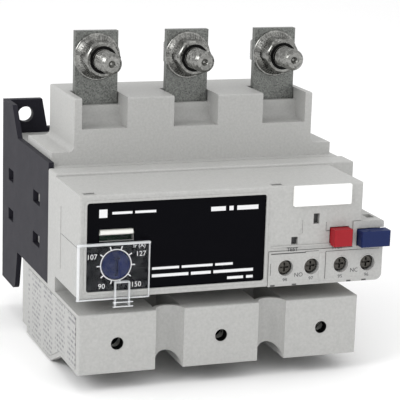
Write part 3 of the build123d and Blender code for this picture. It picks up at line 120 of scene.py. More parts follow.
def choose(piece, test, kind="FACE"):
    """Opens the piece in edit mode, selecting the elements whose middle, in millimetres, passes the test."""
    pick_up(piece)
    bpy.ops.object.mode_set(mode="EDIT")
    bpy.ops.mesh.select_mode(type=kind)
    bpy.ops.mesh.select_all(action="DESELECT")
    bpy.ops.object.mode_set(mode="OBJECT")
    mesh = piece.data
    for element in {"VERT": mesh.vertices, "EDGE": mesh.edges, "FACE": mesh.polygons}[kind]:
        ends = [element.co] if kind == "VERT" else [mesh.vertices[i].co for i in element.vertices]
        middle = sum(ends, Vector()) / len(ends) / MM - Vector((0, 0, FOOT))
        element.select = bool(test(middle))
    bpy.ops.object.mode_set(mode="EDIT")


def finish_mesh(piece, name, smooth=30):
    """Applies the piece's place, points its faces outwards and smooths its soft edges."""
    pick_up(piece)
    bpy.ops.object.transform_apply(location=True, rotation=True, scale=True)
    bpy.ops.object.mode_set(mode="EDIT")
    bpy.ops.mesh.select_all(action="SELECT")
    bpy.ops.mesh.remove_doubles(threshold=0.000002)
    bpy.ops.mesh.normals_make_consistent(inside=False)
    bpy.ops.object.mode_set(mode="OBJECT")
    bpy.ops.object.shade_smooth_by_angle(angle=math.radians(smooth))
    piece.name = piece.data.name = name
    return piece


def join(pieces, name):
    """Joins finished pieces into one object."""
    put_down()
    for piece in pieces:
        piece.select_set(True)
    bpy.context.view_layer.objects.active = pieces[0]
    if len(pieces) > 1:
        bpy.ops.object.join()
    pieces[0].name = pieces[0].data.name = name
    return pieces[0]


def copy_to(piece, dx=0.0, dy=0.0, dz=0.0):
    """A copy with its own mesh, moved by millimetres."""
    twin = piece.copy()
    twin.data = piece.data.copy()
    twin.data.transform(Matrix.Translation(Vector((dx, dy, dz)) * MM))
    bpy.context.collection.objects.link(twin)
    return twin

# %% [markdown]
# ## Two ways to start a shape
# Flat moulded detail starts as a bevelled block. Round detail is turned, as on a lathe: one point is
# extruded along the outline, and the outline is spun about its axis.

# %% Block and lathe
def block(name, x, y, z, bevel=0.1, segments=2):
    """A bevelled block between limits on each axis, in millimetres."""
    size = [abs(b - a) for a, b in (x, y, z)]
    middle = Vector(((x[0] + x[1]) / 2, (y[0] + y[1]) / 2, (z[0] + z[1]) / 2 + FOOT))
    put_down()
    bpy.ops.mesh.primitive_cube_add(size=MM, location=middle * MM, scale=size)
    piece = bpy.context.object
    bpy.ops.object.transform_apply(location=True, rotation=True, scale=True)
    if bevel:
        bpy.ops.object.mode_set(mode="EDIT")
        bpy.ops.mesh.select_all(action="SELECT")
        bpy.ops.mesh.bevel(offset=min(bevel, min(size) * 0.45) * MM, segments=segments, affect="EDGES")
        bpy.ops.object.mode_set(mode="OBJECT")
    return finish_mesh(piece, name)


def turned(name, outline, x, z, steps=48, smooth=30):
    """Spins an outline of (radius, depth) points about the line along Y through (x, z)."""
    start = Vector((x + outline[0][0], outline[0][1], z + FOOT)) * MM
    put_down()
    bpy.ops.mesh.primitive_plane_add(size=MM, location=start)
    piece = bpy.context.object
    bpy.ops.object.transform_apply(location=True, rotation=True, scale=True)
    bpy.ops.object.mode_set(mode="EDIT")
    bpy.ops.mesh.select_mode(type="VERT")
    bpy.ops.mesh.select_all(action="SELECT")
    bpy.ops.mesh.merge(type="CENTER")
    for here, there in zip(outline, outline[1:]):
        move = Vector((there[0] - here[0], there[1] - here[1], 0)) * MM
        bpy.ops.mesh.extrude_region_move(TRANSFORM_OT_translate={"value": move})
    bpy.ops.mesh.select_all(action="SELECT")
    centre = Vector((x, 0, z + FOOT)) * MM
    bpy.ops.mesh.spin(steps=steps, angle=math.tau, center=centre, axis=(0, 1, 0))
    bpy.ops.object.mode_set(mode="OBJECT")
    return finish_mesh(piece, name, smooth)

# %% [markdown]
# ## Shader arithmetic
# A finish is a small recipe of numbers that change over the surface. One class wraps a node's output so
# that Python's own signs add the Math nodes, and one method adds every other node.

# %% Shader helpers
class Flow:
    """One output socket that can be used in sums."""

    def __init__(self, finish, socket):
        self.finish, self.socket = finish, socket

    def _sum(self, operation, first, second):
        return self.finish.add("ShaderNodeMath", {"operation": operation}, {0: first, 1: second})

    def __add__(self, other):
        return self._sum("ADD", self, other)

    __radd__ = __add__

    def __sub__(self, other):
        return self._sum("SUBTRACT", self, other)

    def __rsub__(self, other):
        return self._sum("SUBTRACT", other, self)

    def __mul__(self, other):
        return self._sum("MULTIPLY", self, other)

    __rmul__ = __mul__

    def __truediv__(self, other):
        return self._sum("DIVIDE", self, other)

    def __rtruediv__(self, other):
        return self._sum("DIVIDE", other, self)

    def __gt__(self, other):
        return self._sum("GREATER_THAN", self, other)

    def __lt__(self, other):
        return self._sum("LESS_THAN", self, other)


class Finish:
    """A named material with one Principled shader and the nodes that feed it."""

    def __init__(self, name, roughness=0.5, metallic=0.0, alpha=1.0, coat=0.0, ior=1.46):
        self.material = bpy.data.materials.new(name)
        self.material.use_nodes = True
        self.tree = self.material.node_tree
        self.shader = self.tree.nodes["Principled BSDF"]
        for socket, value in (("Roughness", roughness), ("Metallic", metallic), ("Alpha", alpha),
                              ("Coat Weight", coat), ("IOR", ior)):
            self.shader.inputs[socket].default_value = value
        self.place = self.add("ShaderNodeTexCoord", {}, {}, out="Object")

    def add(self, kind, settings, inputs, out=0):
        """Adds a node: its settings first, then the values or links of its sockets."""
        node = self.tree.nodes.new(kind)
        for key, value in settings.items():
            if key == "ramp":
                stops = node.color_ramp.elements
                while len(stops) < len(value):
                    stops.new(0.5)
                for stop, (position, colour) in zip(stops, value):
                    stop.position, stop.color = position, colour
            else:
                setattr(node, key, value)
        for key, value in inputs.items():
            if isinstance(value, Flow):
                self.tree.links.new(value.socket, node.inputs[key])
            else:
                node.inputs[key].default_value = value
        return Flow(self, node.outputs[out])

    def feed(self, socket, flow):
        self.tree.links.new(flow.socket, self.shader.inputs[socket])

    def noise(self, per_mm, detail=2.0, rough=0.5):
        """Smooth random values from 0 to 1, with so many blobs to a millimetre."""
        return self.add("ShaderNodeTexNoise", {},
                        {"Vector": self.place, "Scale": per_mm / MM, "Detail": detail, "Roughness": rough})

    def blend(self, amount, low, high):
        """Mixes two colours by an amount from 0 to 1."""
        return self.add("ShaderNodeMix", {"data_type": "RGBA", "clamp_factor": True},
                        {0: amount, 6: low, 7: high}, out=2)

    def bump(self, height, depth_mm, strength=0.5):
        self.feed("Normal", self.add("ShaderNodeBump", {}, {"Height": height, "Strength": strength,
                                                              "Distance": depth_mm * MM}))


def tone(red, green, blue):
    """A colour given as it looks on screen, from 0 to 255, turned into light values."""
    shares = [v / 255 for v in (red, green, blue)]
    lights = [((v + 0.055) / 1.055) ** 2.4 if v > 10 / 255 else v / 12.92 for v in shares]
    return tuple(lights + [1.0])

# %% [markdown]
# ## Moulded plastic
# The housings are spark-eroded mouldings: a fine even grain, slightly cloudy colour where the melt
# flowed, and a few handling marks that are shinier than the rest. Three noises at three scales give those
# three effects.

# %% Moulded plastic finish
def moulded(name, colour, roughness=0.5, grain=3.5, depth=0.05, cloud=0.05, speck=0.05, coat=0.0, shine=0.5):
    """Grained plastic: grain in blobs to a mm, depth in mm, cloud and speck as shares of brightness."""
    finish = Finish(name, roughness, coat=coat)
    fine = finish.noise(grain, 3.0, 0.6)
    slow = finish.noise(0.03, 2.0)
    dots = finish.noise(grain * 0.45, 1.0)
    amount = (slow - 0.5) * (cloud * 6) + (dots - 0.5) * (speck * 6) + 0.5
    dark = tuple(v * (1 - cloud - speck) for v in colour[:3]) + (1.0,)
    light = tuple(min(1.0, v * (1 + cloud + speck)) for v in colour[:3]) + (1.0,)
    finish.feed("Base Color", finish.blend(amount, dark, light))
    rubbed = finish.noise(0.12, 4.0, 0.65)
    finish.feed("Roughness", (fine - 0.5) * 0.18 + (rubbed - 0.5) * 0.14 + roughness)
    finish.bump(fine + dots * 0.6, depth, 0.6)
    finish.shader.inputs["Specular IOR Level"].default_value = shine
    return finish.material


finishes = {
    "housing_grey": moulded("grey_housing_plastic", tone(172, 172, 170), 0.52, 2.6, 0.12, 0.03, 0.13,
                            shine=0.4),
    "base_dark": moulded("dark_base_plastic", tone(32, 31, 39), 0.62, 2.6, 0.07, 0.08, 0.14, shine=0.2),
    "label_black": moulded("printed_label_film", tone(5, 5, 9), 0.6, 4.0, 0.02, 0.05, 0.10, shine=0.05),
    "tag_white": moulded("white_marker_tag", tone(244, 244, 242), 0.5, 3.0, 0.03, 0.015, 0.03),
    "stop_red": moulded("red_button_plastic", tone(148, 24, 34), 0.5, 3.0, 0.04, 0.05, 0.08, shine=0.25),
    "reset_blue": moulded("blue_button_plastic", tone(16, 32, 78), 0.5, 3.0, 0.04, 0.06, 0.12, shine=0.25),
    "dial_blue": moulded("blue_dial_plastic", tone(12, 24, 66), 0.45, 2.2, 0.06, 0.10, 0.34, shine=0.2),
    "hinge_white": moulded("white_hinge_plastic", tone(226, 226, 220), 0.42, 3.0, 0.03, 0.02, 0.03),
    "mechanism_cream": moulded("cream_mechanism_plastic", tone(222, 212, 188), 0.5, 3.0, 0.03),
    "flag_grey": moulded("trip_flag_plastic", tone(84, 84, 84), 0.5, 3.0, 0.03, 0.1, 0.1),
    "plunger_dark": moulded("dark_plunger_plastic", tone(40, 40, 42), 0.5, 3.0, 0.03, 0.06, 0.10),
    "component_black": moulded("moulded_component", tone(30, 30, 32), 0.35, 4.0, 0.02),
    "board_green": moulded("board_solder_mask", tone(26, 92, 52), 0.3, 5.0, 0.01, 0.1, 0.05, coat=0.5),
}
print("moulded finishes:", len(finishes))

# %% [markdown]
# ## Plated metal
# The tabs are tin-plated copper with a sandy, speckled skin, and the bolts, nuts and washers are bright
# zinc. Small cells of slightly different brightness break up the reflection, as the crystals of the
# plating do.

# %% Plated metal finish
def plated(name, colour, roughness=0.35, crystal=1.6, contrast=0.35, depth=0.03):
    finish = Finish(name, roughness, metallic=1.0)
    cells = finish.add("ShaderNodeTexVoronoi", {"feature": "F1"},
                       {"Vector": finish.place, "Scale": crystal / MM}, out="Color")
    grey = finish.add("ShaderNodeRGBToBW", {}, {0: cells})
    fine = finish.noise(crystal * 2.5, 3.0, 0.7)
    stain = finish.noise(0.15, 3.0)
    amount = (grey - 0.5) * contrast * 1.6 + (fine - 0.5) * contrast * 2.2 + (stain - 0.5) * 0.5 + 0.5
    dark = tuple(v * (1 - contrast) for v in colour[:3]) + (1.0,)
    light = tuple(min(1.0, v * (1 + contrast * 0.5)) for v in colour[:3]) + (1.0,)
    finish.feed("Base Color", finish.blend(amount, dark, light))
    finish.feed("Roughness", (grey - 0.5) * 0.25 + (stain - 0.5) * 0.2 + roughness)
    finish.bump(fine + grey * 0.5, depth, 0.6)
    return finish.material


finishes.update({
    "zinc_steel": plated("bright_zinc", tone(140, 140, 137), 0.22, 1.1, 0.55, 0.05),
    "plated_bar": plated("speckled_tin_plate", tone(128, 130, 127), 0.5, 2.1, 0.62, 0.08),
    "clamp_steel": plated("clamp_zinc", tone(176, 176, 172), 0.35, 1.2, 0.25, 0.02),
    "clamp_black": plated("black_oxide", tone(14, 14, 14), 0.7, 1.4, 0.2, 0.02),
    "screw_dark": plated("screw_zinc", tone(82, 80, 76), 0.36, 1.4, 0.5, 0.03),
    "spring_steel": plated("spring_wire", tone(196, 196, 200), 0.25, 2.0, 0.15, 0.01),
    "contact_brass": plated("contact_strip", tone(212, 172, 96), 0.3, 1.6, 0.2, 0.01),
    "core_iron": plated("laminated_iron", tone(96, 96, 100), 0.5, 1.2, 0.3, 0.03),
    "coil_copper": plated("enamelled_copper", tone(190, 104, 60), 0.32, 2.4, 0.25, 0.03),
})
print("finishes so far:", len(finishes))

# %% [markdown]
# ## Clear plastic
# The dial's cover is polished clear plastic. Seen flat on it almost vanishes, so its alpha is low, while
# its edges gather light and look white. That light is painted: the edges are added later as thin beads in a
# pale, denser finish.

# %% Clear finishes
def clear(name, colour, alpha, roughness):
    finish = Finish(name, roughness, alpha=alpha)
    scuff = finish.noise(0.5, 4.0, 0.7)
    pale = tuple(min(1.0, v * 1.1) for v in colour[:3]) + (1.0,)
    finish.feed("Base Color", finish.blend(scuff, colour, pale))
    finish.feed("Roughness", scuff * 0.12 + roughness)
    finish.feed("Alpha", (scuff - 0.5) * 0.1 + alpha)
    return finish.material


finishes["clear_plastic"] = clear("clear_cover_plastic", tone(214, 218, 222), 0.014, 0.06)
# Painted highlight: a pale, half-opaque finish for the beads that stand for the light gathered at the cover's
# edges.
finishes["painted_edge_highlight"] = clear("clear_cover_painted_edge_highlight", tone(232, 234, 236), 0.5, 0.14)
print("clear finishes added")

# %% [markdown]
# ## Rating film
# A pale film on the shroud's side carries small print. No words are wanted, so rows of short dark dashes
# stand for them: even stripes along the height make the rows, and a stretched noise breaks each into
# words.

# %% Rating film finish
def rating_film(name):
    finish = Finish(name, 0.4)
    split = finish.add("ShaderNodeSeparateXYZ", {}, {0: finish.place}, out="Y")
    height = finish.add("ShaderNodeSeparateXYZ", {}, {0: finish.place}, out="Z")
    row = finish.add("ShaderNodeMath", {"operation": "FRACT"}, {0: height / (1.9 * MM)})
    words = finish.add("ShaderNodeTexNoise", {}, {
        "Vector": finish.add("ShaderNodeCombineXYZ", {}, {
            0: split / (1.1 * MM),
            1: finish.add("ShaderNodeMath", {"operation": "FLOOR"}, {0: height / (1.9 * MM)}) * 7.3}),
        "Scale": 1.0, "Detail": 1.0})
    column = finish.add("ShaderNodeMath", {"operation": "FRACT"}, {0: split / (17.0 * MM)})
    ink = (row > 0.5) * (words > 0.5) * (column > 0.22)
    finish.feed("Base Color", finish.blend(ink * 0.62, tone(168, 168, 166), tone(70, 70, 80)))
    finish.feed("Roughness", finish.noise(1.5) * 0.1 + 0.38)
    finish.bump(finish.noise(2.0), 0.02, 0.3)
    return finish.material


finishes["side_film"] = rating_film("printed_rating_film")
finishes["print_white"] = moulded("white_print", tone(222, 222, 224), 0.5, 4.0, 0.01, 0.01, 0.06)
finishes["print_dark"] = moulded("dark_print", tone(52, 52, 56), 0.5, 4.0, 0.01, 0.02, 0.05)
finishes["countersink_shadow"] = plated("countersink_shadow", tone(30, 30, 30), 0.6, 1.4, 0.4)
finishes["bore_shadow"] = moulded("bore_shadow", tone(12, 12, 12), 0.8, 3.0, 0.02, shine=0.1)
finishes["seam_shadow"] = moulded("seam_shadow", tone(74, 74, 74), 0.7, 3.0, 0.02)

# %% [markdown]
# ## Give every ready-made part its finish
# The record names a finish slot for each part, so the same table of finishes serves the parts and the
# additions.

# %% Paint the parts
def paint(piece, slot_name, body="root"):
    """Gives an added piece its finish and the body it moves with."""
    piece.data.materials.clear()
    piece.data.materials.append(finishes[slot_name])
    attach(piece, body)
    return piece


for entry in frame["record"]["subparts"]:
    part = frame["nodes"][entry["node"]]
    part.data.materials.clear()
    part.data.materials.append(finishes[entry["material_slot"]])

# %% [markdown]
# ## Threaded studs
# A bolt shows its thread as a stack of fine ridges. One turned outline zigzags along the thread, closes
# over the end with a chamfer and a dimple, and carries the hidden head at its back. The other two studs
# are copies.

# %% Turn the studs
bolt_low, bolt_high = limits("line_bolts")
tab_front = limits("busbar_left")[1].y - 3.0
PITCH, CREST, VALLEY, ROOT = 1.25, 4.0, 3.45, 3.7
HEAD_DEPTH = 5.3
outline = [(0.0, bolt_low.y + 1.3), (0.45, bolt_low.y + 1.25), (1.35, bolt_low.y + 0.05), (3.0, bolt_low.y),
           (VALLEY, bolt_low.y + 0.45)]
depth = bolt_low.y + 0.9
while depth < tab_front - 10.5:
    outline += [(CREST, depth), (CREST, depth + 0.25), (VALLEY, depth + 0.7), (VALLEY, depth + 0.85)]
    depth += PITCH
nut_front = limits("line_nuts")[0].y
head_front = bolt_high.y - HEAD_DEPTH
outline += [(CREST, depth), (CREST, nut_front), (ROOT, nut_front), (ROOT, head_front), (0.0, head_front)]
stud = turned("stud_left", outline, STUD_X[0], STUD_Z, 32)
put_down()
bpy.ops.mesh.primitive_cylinder_add(
    vertices=6, radius=7.5 * MM, depth=HEAD_DEPTH * MM, rotation=(math.pi / 2, 0, 0),
    location=Vector((STUD_X[0], bolt_high.y - HEAD_DEPTH / 2, STUD_Z + FOOT)) * MM)
head = bpy.context.object
bpy.ops.object.transform_apply(location=True, rotation=True, scale=True)
bpy.ops.object.mode_set(mode="EDIT")
bpy.ops.mesh.select_all(action="SELECT")
bpy.ops.mesh.bevel(offset=0.35 * MM, segments=2, affect="EDGES")
head = finish_mesh(head, "stud_head")
stud = join([stud, head], "stud_left")
all_studs = [stud] + [copy_to(stud, x - STUD_X[0]) for x in STUD_X[1:]]
studs_piece = paint(join(all_studs, "threaded_studs"), "zinc_steel")
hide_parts("line_bolts")
print("studs:", len(studs_piece.data.polygons), "faces")

# %% [markdown]
# ## Countersinks round the studs
# A nut's thread starts in a countersink that stays in shadow, so a thin dark ring stands round each stud.

# %% Turn the rings
ring = [(4.08, nut_front - 0.03), (5.25, nut_front - 0.03), (5.25, nut_front + 0.1), (4.08, nut_front + 0.1),
        (4.08, nut_front - 0.03)]
sinks = [turned("countersink", ring, STUD_X[0], STUD_Z, 40)]
sinks += [copy_to(sinks[0], x - STUD_X[0]) for x in STUD_X[1:]]
paint(join(sinks, "nut_countersinks"), "countersink_shadow")
print("countersinks:", len(sinks))

# %% [markdown]
# ## Serrated lock washers
# The conical washer under each nut has fine radial teeth. It is turned with as many steps as it has teeth
# and gaps, and every second face of its slope is then inset and pulled out.

# %% Model the washers
washer_low, washer_high = limits("line_lock_washers")
back, front = washer_high.y, washer_low.y
outline = [(4.25, back), (9.0, back), (9.0, back - 0.75), (8.8, back - 0.95), (8.35, back - 1.0),
           (6.95, front + 0.25), (6.6, front + 0.05), (4.25, front + 0.05), (4.25, back)]
washer = turned("washer_left", outline, STUD_X[0], STUD_Z, 96, smooth=20)


def on_tooth(middle):
    away = Vector((middle.x - STUD_X[0], middle.z - STUD_Z))
    turn = math.degrees(math.atan2(away.y, away.x)) % 360
    return 7.2 < away.length < 8.2 and int(turn / 3.75) % 2 == 0


choose(washer, on_tooth)
bpy.ops.mesh.inset(thickness=0.06 * MM, depth=0.2 * MM, use_individual=True)
washer = finish_mesh(washer, "washer_left", 20)
washers = [washer] + [copy_to(washer, x - STUD_X[0]) for x in STUD_X[1:]]
washers = paint(join(washers, "serrated_washers"), "zinc_steel")
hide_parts("line_lock_washers")
print("washers:", len(washers.data.polygons), "faces")

# %% [markdown]
# ## Label bezel
# The black label sits in a shallow pocket whose lip stands a little proud and catches the light. The lip
# is one plane with rounded corners, inset to a ring, emptied and pulled forward.

# %% Model the bezel
def ring_plate(name, x, z, y_back, proud, width, corner):
    """A rounded rectangular ring between X and Z limits, standing proud of its back."""
    put_down()
    middle = Vector(((x[0] + x[1]) / 2, y_back, (z[0] + z[1]) / 2 + FOOT)) * MM
    bpy.ops.mesh.primitive_plane_add(size=MM, location=middle, rotation=(math.pi / 2, 0, 0))
    piece = bpy.context.object
    piece.scale = (x[1] - x[0], z[1] - z[0], 1)
    bpy.ops.object.transform_apply(location=True, rotation=True, scale=True)
    bpy.ops.object.mode_set(mode="EDIT")
    bpy.ops.mesh.select_all(action="SELECT")
    bpy.ops.mesh.bevel(offset=corner * MM, segments=5, affect="VERTICES")
    bpy.ops.mesh.select_mode(type="FACE")
    bpy.ops.mesh.select_all(action="SELECT")
    bpy.ops.mesh.inset(thickness=width * MM)
    bpy.ops.mesh.delete(type="FACE")
    bpy.ops.mesh.select_all(action="SELECT")
    bpy.ops.mesh.extrude_region_move(TRANSFORM_OT_translate={"value": (0, -proud * MM, 0)})
    bpy.ops.object.mode_set(mode="OBJECT")
    return finish_mesh(piece, name)


LIP = 0.75
bezel = ring_plate("bezel", (label_low.x - LIP, label_high.x + LIP), (label_low.z - LIP, label_high.z + LIP),
                   FACE + 0.9, 1.15, 0.9, 1.9)
choose(bezel, lambda m: m.y < FACE - 0.2, "EDGE")
bpy.ops.mesh.bevel(offset=0.12 * MM, segments=2, affect="EDGES")
paint(finish_mesh(bezel, "label_bezel"), "housing_grey")
print("bezel:", len(bezel.data.polygons), "faces")

# %% [markdown]
# ## Print on the label
# The print is a skin a few hundredths of a millimetre thick. Words that would name a maker or a model
# become plain bars, and only the dial's current scale is lettered.

# %% Lettering and bars
def word(text, x, z, height, y):
    """Flat lettering that faces the user."""
    put_down()
    bpy.ops.object.text_add(location=Vector((x, y, z + FOOT)) * MM, rotation=(math.pi / 2, 0, 0))
    piece = bpy.context.object
    piece.data.body, piece.data.size, piece.data.extrude = text, height * 1.38 * MM, 0.015 * MM
    piece.data.align_x, piece.data.align_y = "CENTER", "CENTER"
    piece.data.resolution_u = 3
    bpy.ops.object.convert(target="MESH")
    return finish_mesh(bpy.context.object, "word")


def bar(x0, x1, z, height, y):
    return block("bar", (x0, x1), (y - 0.03, y), (z - height / 2, z + height / 2), bevel=0)


def stroke(angle, inner, outer, width):
    """One scale mark that points away from the dial's centre, its angle counted clockwise from the top."""
    left, right = DIAL_X - width / 2, DIAL_X + width / 2
    piece = bar(left, right, DIAL_Z + (inner + outer) / 2, outer - inner, LABEL_FACE)
    centre = Vector((DIAL_X, 0, DIAL_Z + FOOT)) * MM
    spin = Matrix.Rotation(math.radians(angle), 4, "Y")
    piece.data.transform(Matrix.Translation(centre) @ spin @ Matrix.Translation(-centre))
    return piece


marks = [stroke(sign * (18.33 + 36.67 * i), 5.75, 7.1, 0.4) for i in range(5) for sign in (-1, 1)]
ring = turned("dial_ring", [(5.5, LABEL_FACE), (5.5, LABEL_FACE - 0.03), (5.85, LABEL_FACE - 0.03),
                            (5.85, LABEL_FACE), (5.5, LABEL_FACE)], DIAL_X, DIAL_Z, 64)
for text, dx, dz, height in (("107", -8.9, 3.3, 1.9), ("127", 9.2, 3.6, 1.9), ("90", -5.2, -7.6, 1.9),
                             ("150", 7.6, -7.6, 1.9), ("Ir (A)", 8.6, 6.6, 1.5)):
    marks.append(word(text, DIAL_X + dx, DIAL_Z + dz, height, LABEL_FACE - 0.015))
print("scale marks:", len(marks) + 1)

# %% Plain bars where words would be
right = label_high.x
lines = []
lines += [bar(-52.4, -49.4, 65.0, 3.0, LABEL_FACE)]
lines += [bar(-47.6, -40.2, 65.0, 0.9, LABEL_FACE), bar(-39.2, -31.4, 65.0, 0.9, LABEL_FACE)]
for x0, x1 in ((-15.2, -9.6), (-8.2, -6.6), (-5.2, 3.0)):
    lines.append(bar(x0 + right - 6.2, x1 + right - 6.2, 64.6, 1.6, LABEL_FACE))
for z, spans, height in ((43.9, ((-32.4, -22.2), (-21.2, -9.4), (-8.4, -1.6)), 0.9),
                         (41.2, ((-32.4, -18.6), (-17.6, -10.0), (-9.0, 6.4)), 1.1),
                         (38.6, ((-3.6, 2.6), (3.8, 6.4)), 1.0)):
    lines += [bar(x0, x1, z, height, LABEL_FACE) for x0, x1 in spans]
label_print = paint(join([ring] + marks + lines, "label_print"), "print_white")
print("label print:", len(label_print.data.polygons), "faces")

# %% [markdown]
# ## Print beside the terminals and buttons
# The terminal numbers and contact letters are the standard ones for such relays, printed dark on the
# grey.

# %% Terminal and button lettering
STRIP_FACE = strip_low.y
terminal_x = {n: sum(limits(f"terminal_{n}")[k].x for k in (0, 1)) / 2 for n in (95, 96, 97, 98)}
terminal_z = limits("terminal_98")[0].z + 5.0
INK_FACE = STRIP_FACE - 0.02
labels = [word("TEST", 21.4, 47.9, 1.5, FACE - 0.32), word("STOP", 39.4, 47.7, 1.4, INK_FACE),
          word("RESET", 51.6, 47.6, 1.3, INK_FACE)]
for number, x in terminal_x.items():
    labels.append(word(str(number), x - 0.2, terminal_z - 4.55, 1.35, INK_FACE))
labels.append(word("NO", (terminal_x[97] + terminal_x[98]) / 2, terminal_z - 2.9, 1.6, INK_FACE))
labels.append(word("NC", (terminal_x[95] + terminal_x[96]) / 2, terminal_z - 2.5, 1.6, INK_FACE))
face_print = paint(join(labels, "terminal_print"), "print_dark")
print("face print:", len(face_print.data.polygons), "faces")

# %% [markdown]
# ## Rims round the holes
# Each hole in a moulding has a softly rolled lip that shows as a light ring. The lips are turned once per
# size and copied.

# %% Key-hole and terminal lips
def lip(name, x, z, hole, y, proud, width):
    outline = [(hole, y + 0.3), (hole, y - proud * 0.6), (hole + width * 0.3, y - proud),
               (hole + width * 0.7, y - proud), (hole + width, y), (hole + width, y + 0.3), (hole, y + 0.3)]
    return turned(name, outline, x, z, 40)


KEY_HOLE_RISE, KEY_HOLE_RADIUS, SCREW_HOLE_RADIUS = 8.1, 2.35, 3.0
key_z = limits("load_clamp_left")[0].z + KEY_HOLE_RISE
lips = [lip("key_lip", BAY_X[0], key_z, KEY_HOLE_RADIUS, FACE, 0.12, 0.35)]
lips += [copy_to(lips[0], x - BAY_X[0]) for x in BAY_X[1:]]
first = lip("screw_lip", terminal_x[98], terminal_z, SCREW_HOLE_RADIUS, STRIP_FACE, 0.15, 0.5)
lips += [first] + [copy_to(first, terminal_x[n] - terminal_x[98]) for n in (97, 95, 96)]
paint(join(lips, "hole_lips"), "housing_grey")
print("lips:", len(lips))

# %% [markdown]
# ## Dark bores behind the key holes
# Hardly any light reaches the key holes' walls. A thin tube in a near-black finish lines each of them.

# %% Turn the bores
tube = [(2.22, FACE + 0.25), (2.34, FACE + 0.25), (2.34, FACE + 3.6), (2.22, FACE + 3.6), (2.22, FACE + 0.25)]
bores = [turned("key_bore", tube, BAY_X[0], key_z, 40)]
bores += [copy_to(bores[0], x - BAY_X[0]) for x in BAY_X[1:]]
paint(join(bores, "key_hole_bores"), "bore_shadow")
print("bores:", len(bores))

# %% [markdown]
# ## Ribs and seams of the terminal end
# The terminal end shows a ridge over its screws, a rib between the pairs and a few moulded seams. Ribs
# are bevelled blocks in the housing's finish, and seams are hair-thin blocks in a shadow grey.

# %% Ribs and seams
ribs = [
    block("rib", (13.0, 44.6), (STRIP_FACE - 0.25, FACE + 0.2), (48.9, 49.4), 0.12),
    block("rib", (32.2, 34.6), (STRIP_FACE - 0.25, STRIP_FACE + 0.3), (35.4, 46.2), 0.2),
    block("rib", (12.6, 32.2), (STRIP_FACE - 0.12, STRIP_FACE + 0.3), (35.0, 36.1), 0.15),
    block("rib", (34.8, 56.0), (STRIP_FACE - 0.12, STRIP_FACE + 0.3), (35.0, 36.0), 0.15),
    block("rib", (24.6, 25.0), (FACE - 0.16, FACE + 0.2), (53.6, 58.8), 0.08),
    block("rib", (23.6, 25.0), (FACE - 0.16, FACE + 0.2), (53.4, 53.8), 0.08),
    block("rib", (34.7, 35.0), (FACE - 0.14, FACE + 0.2), (54.2, 57.6), 0.08),
]
paint(join(ribs, "terminal_ribs"), "housing_grey")
seams = [
    block("seam", (13.0, 26.8), (STRIP_FACE - 0.05, STRIP_FACE + 0.2), (46.35, 46.75), 0.03),
    block("seam", (26.6, 32.0), (STRIP_FACE - 0.05, STRIP_FACE + 0.2), (46.75, 46.95), 0.03),
    block("seam", (34.8, 56.6), (STRIP_FACE - 0.05, STRIP_FACE + 0.2), (46.3, 46.5), 0.03),
    block("seam", (34.75, 34.95), (STRIP_FACE - 0.05, STRIP_FACE + 0.2), (36.0, 46.4), 0.03),
    block("seam", (24.95, 25.15), (FACE - 0.03, FACE + 0.2), (53.8, 58.7), 0.03),
    block("seam", (34.5, 34.65), (FACE - 0.03, FACE + 0.2), (54.2, 57.5), 0.03),
    block("seam", (34.6, 36.2), (FACE - 0.05, FACE + 0.2), (54.0, 54.3), 0.03),
    block("seam", (12.9, 13.1), (STRIP_FACE - 0.03, STRIP_FACE + 0.2), (38.5, 43.0), 0.03),
]
for x in (14.0, 22.6, 44.6, 50.8):
    depths = (STRIP_FACE - 0.05, STRIP_FACE + 0.6)
    seams.append(block("notch", (x - 0.9, x + 0.9), depths, (34.25, 34.85), 0.05))
paint(join(seams, "terminal_seams"), "seam_shadow")
print("ribs and seams:", len(ribs), len(seams))

# %% [markdown]
# ## Detail on the sides and the top
# The left wall has a long seam, an upright bead and a snap pocket, and the ledge above the label has
# small slots for a tool. All but the pocket are modelled, and they follow the same two recipes.

# %% Side and top detail
side = cover_low.x
top = cover_high.z
beads = [
    block("bead", (side - 0.22, side + 0.3), (FACE + 24.6, FACE + 25.6), (39.0, 62.5), 0.12),
    block("bead", (side + 1.6, side + 6.2), (FACE + 1.0, FACE + 1.3), (top - 0.2, top + 0.25), 0.08),
    block("bead", (side + 1.6, side + 6.2), (FACE + 4.0, FACE + 4.3), (top - 0.2, top + 0.25), 0.08),
    block("bead", (13.0, 17.6), (FACE + 1.0, FACE + 1.3), (top - 0.2, top + 0.25), 0.08),
    block("bead", (13.0, 17.6), (FACE + 4.0, FACE + 4.3), (top - 0.2, top + 0.25), 0.08),
]
paint(join(beads, "wall_beads"), "housing_grey")
hairs = [
    block("hair", (side - 0.03, side + 0.2), (FACE + 1.5, FACE + 25.0), (52.35, 52.55), 0.02),
    block("hair", (side + 1.9, side + 5.9), (FACE + 1.6, FACE + 3.6), (top - 0.2, top + 0.03), 0.02),
    block("hair", (13.3, 17.3), (FACE + 1.6, FACE + 3.6), (top - 0.2, top + 0.03), 0.02),
]
paint(join(hairs, "wall_seams"), "seam_shadow")
print("side detail:", len(beads) + len(hairs))
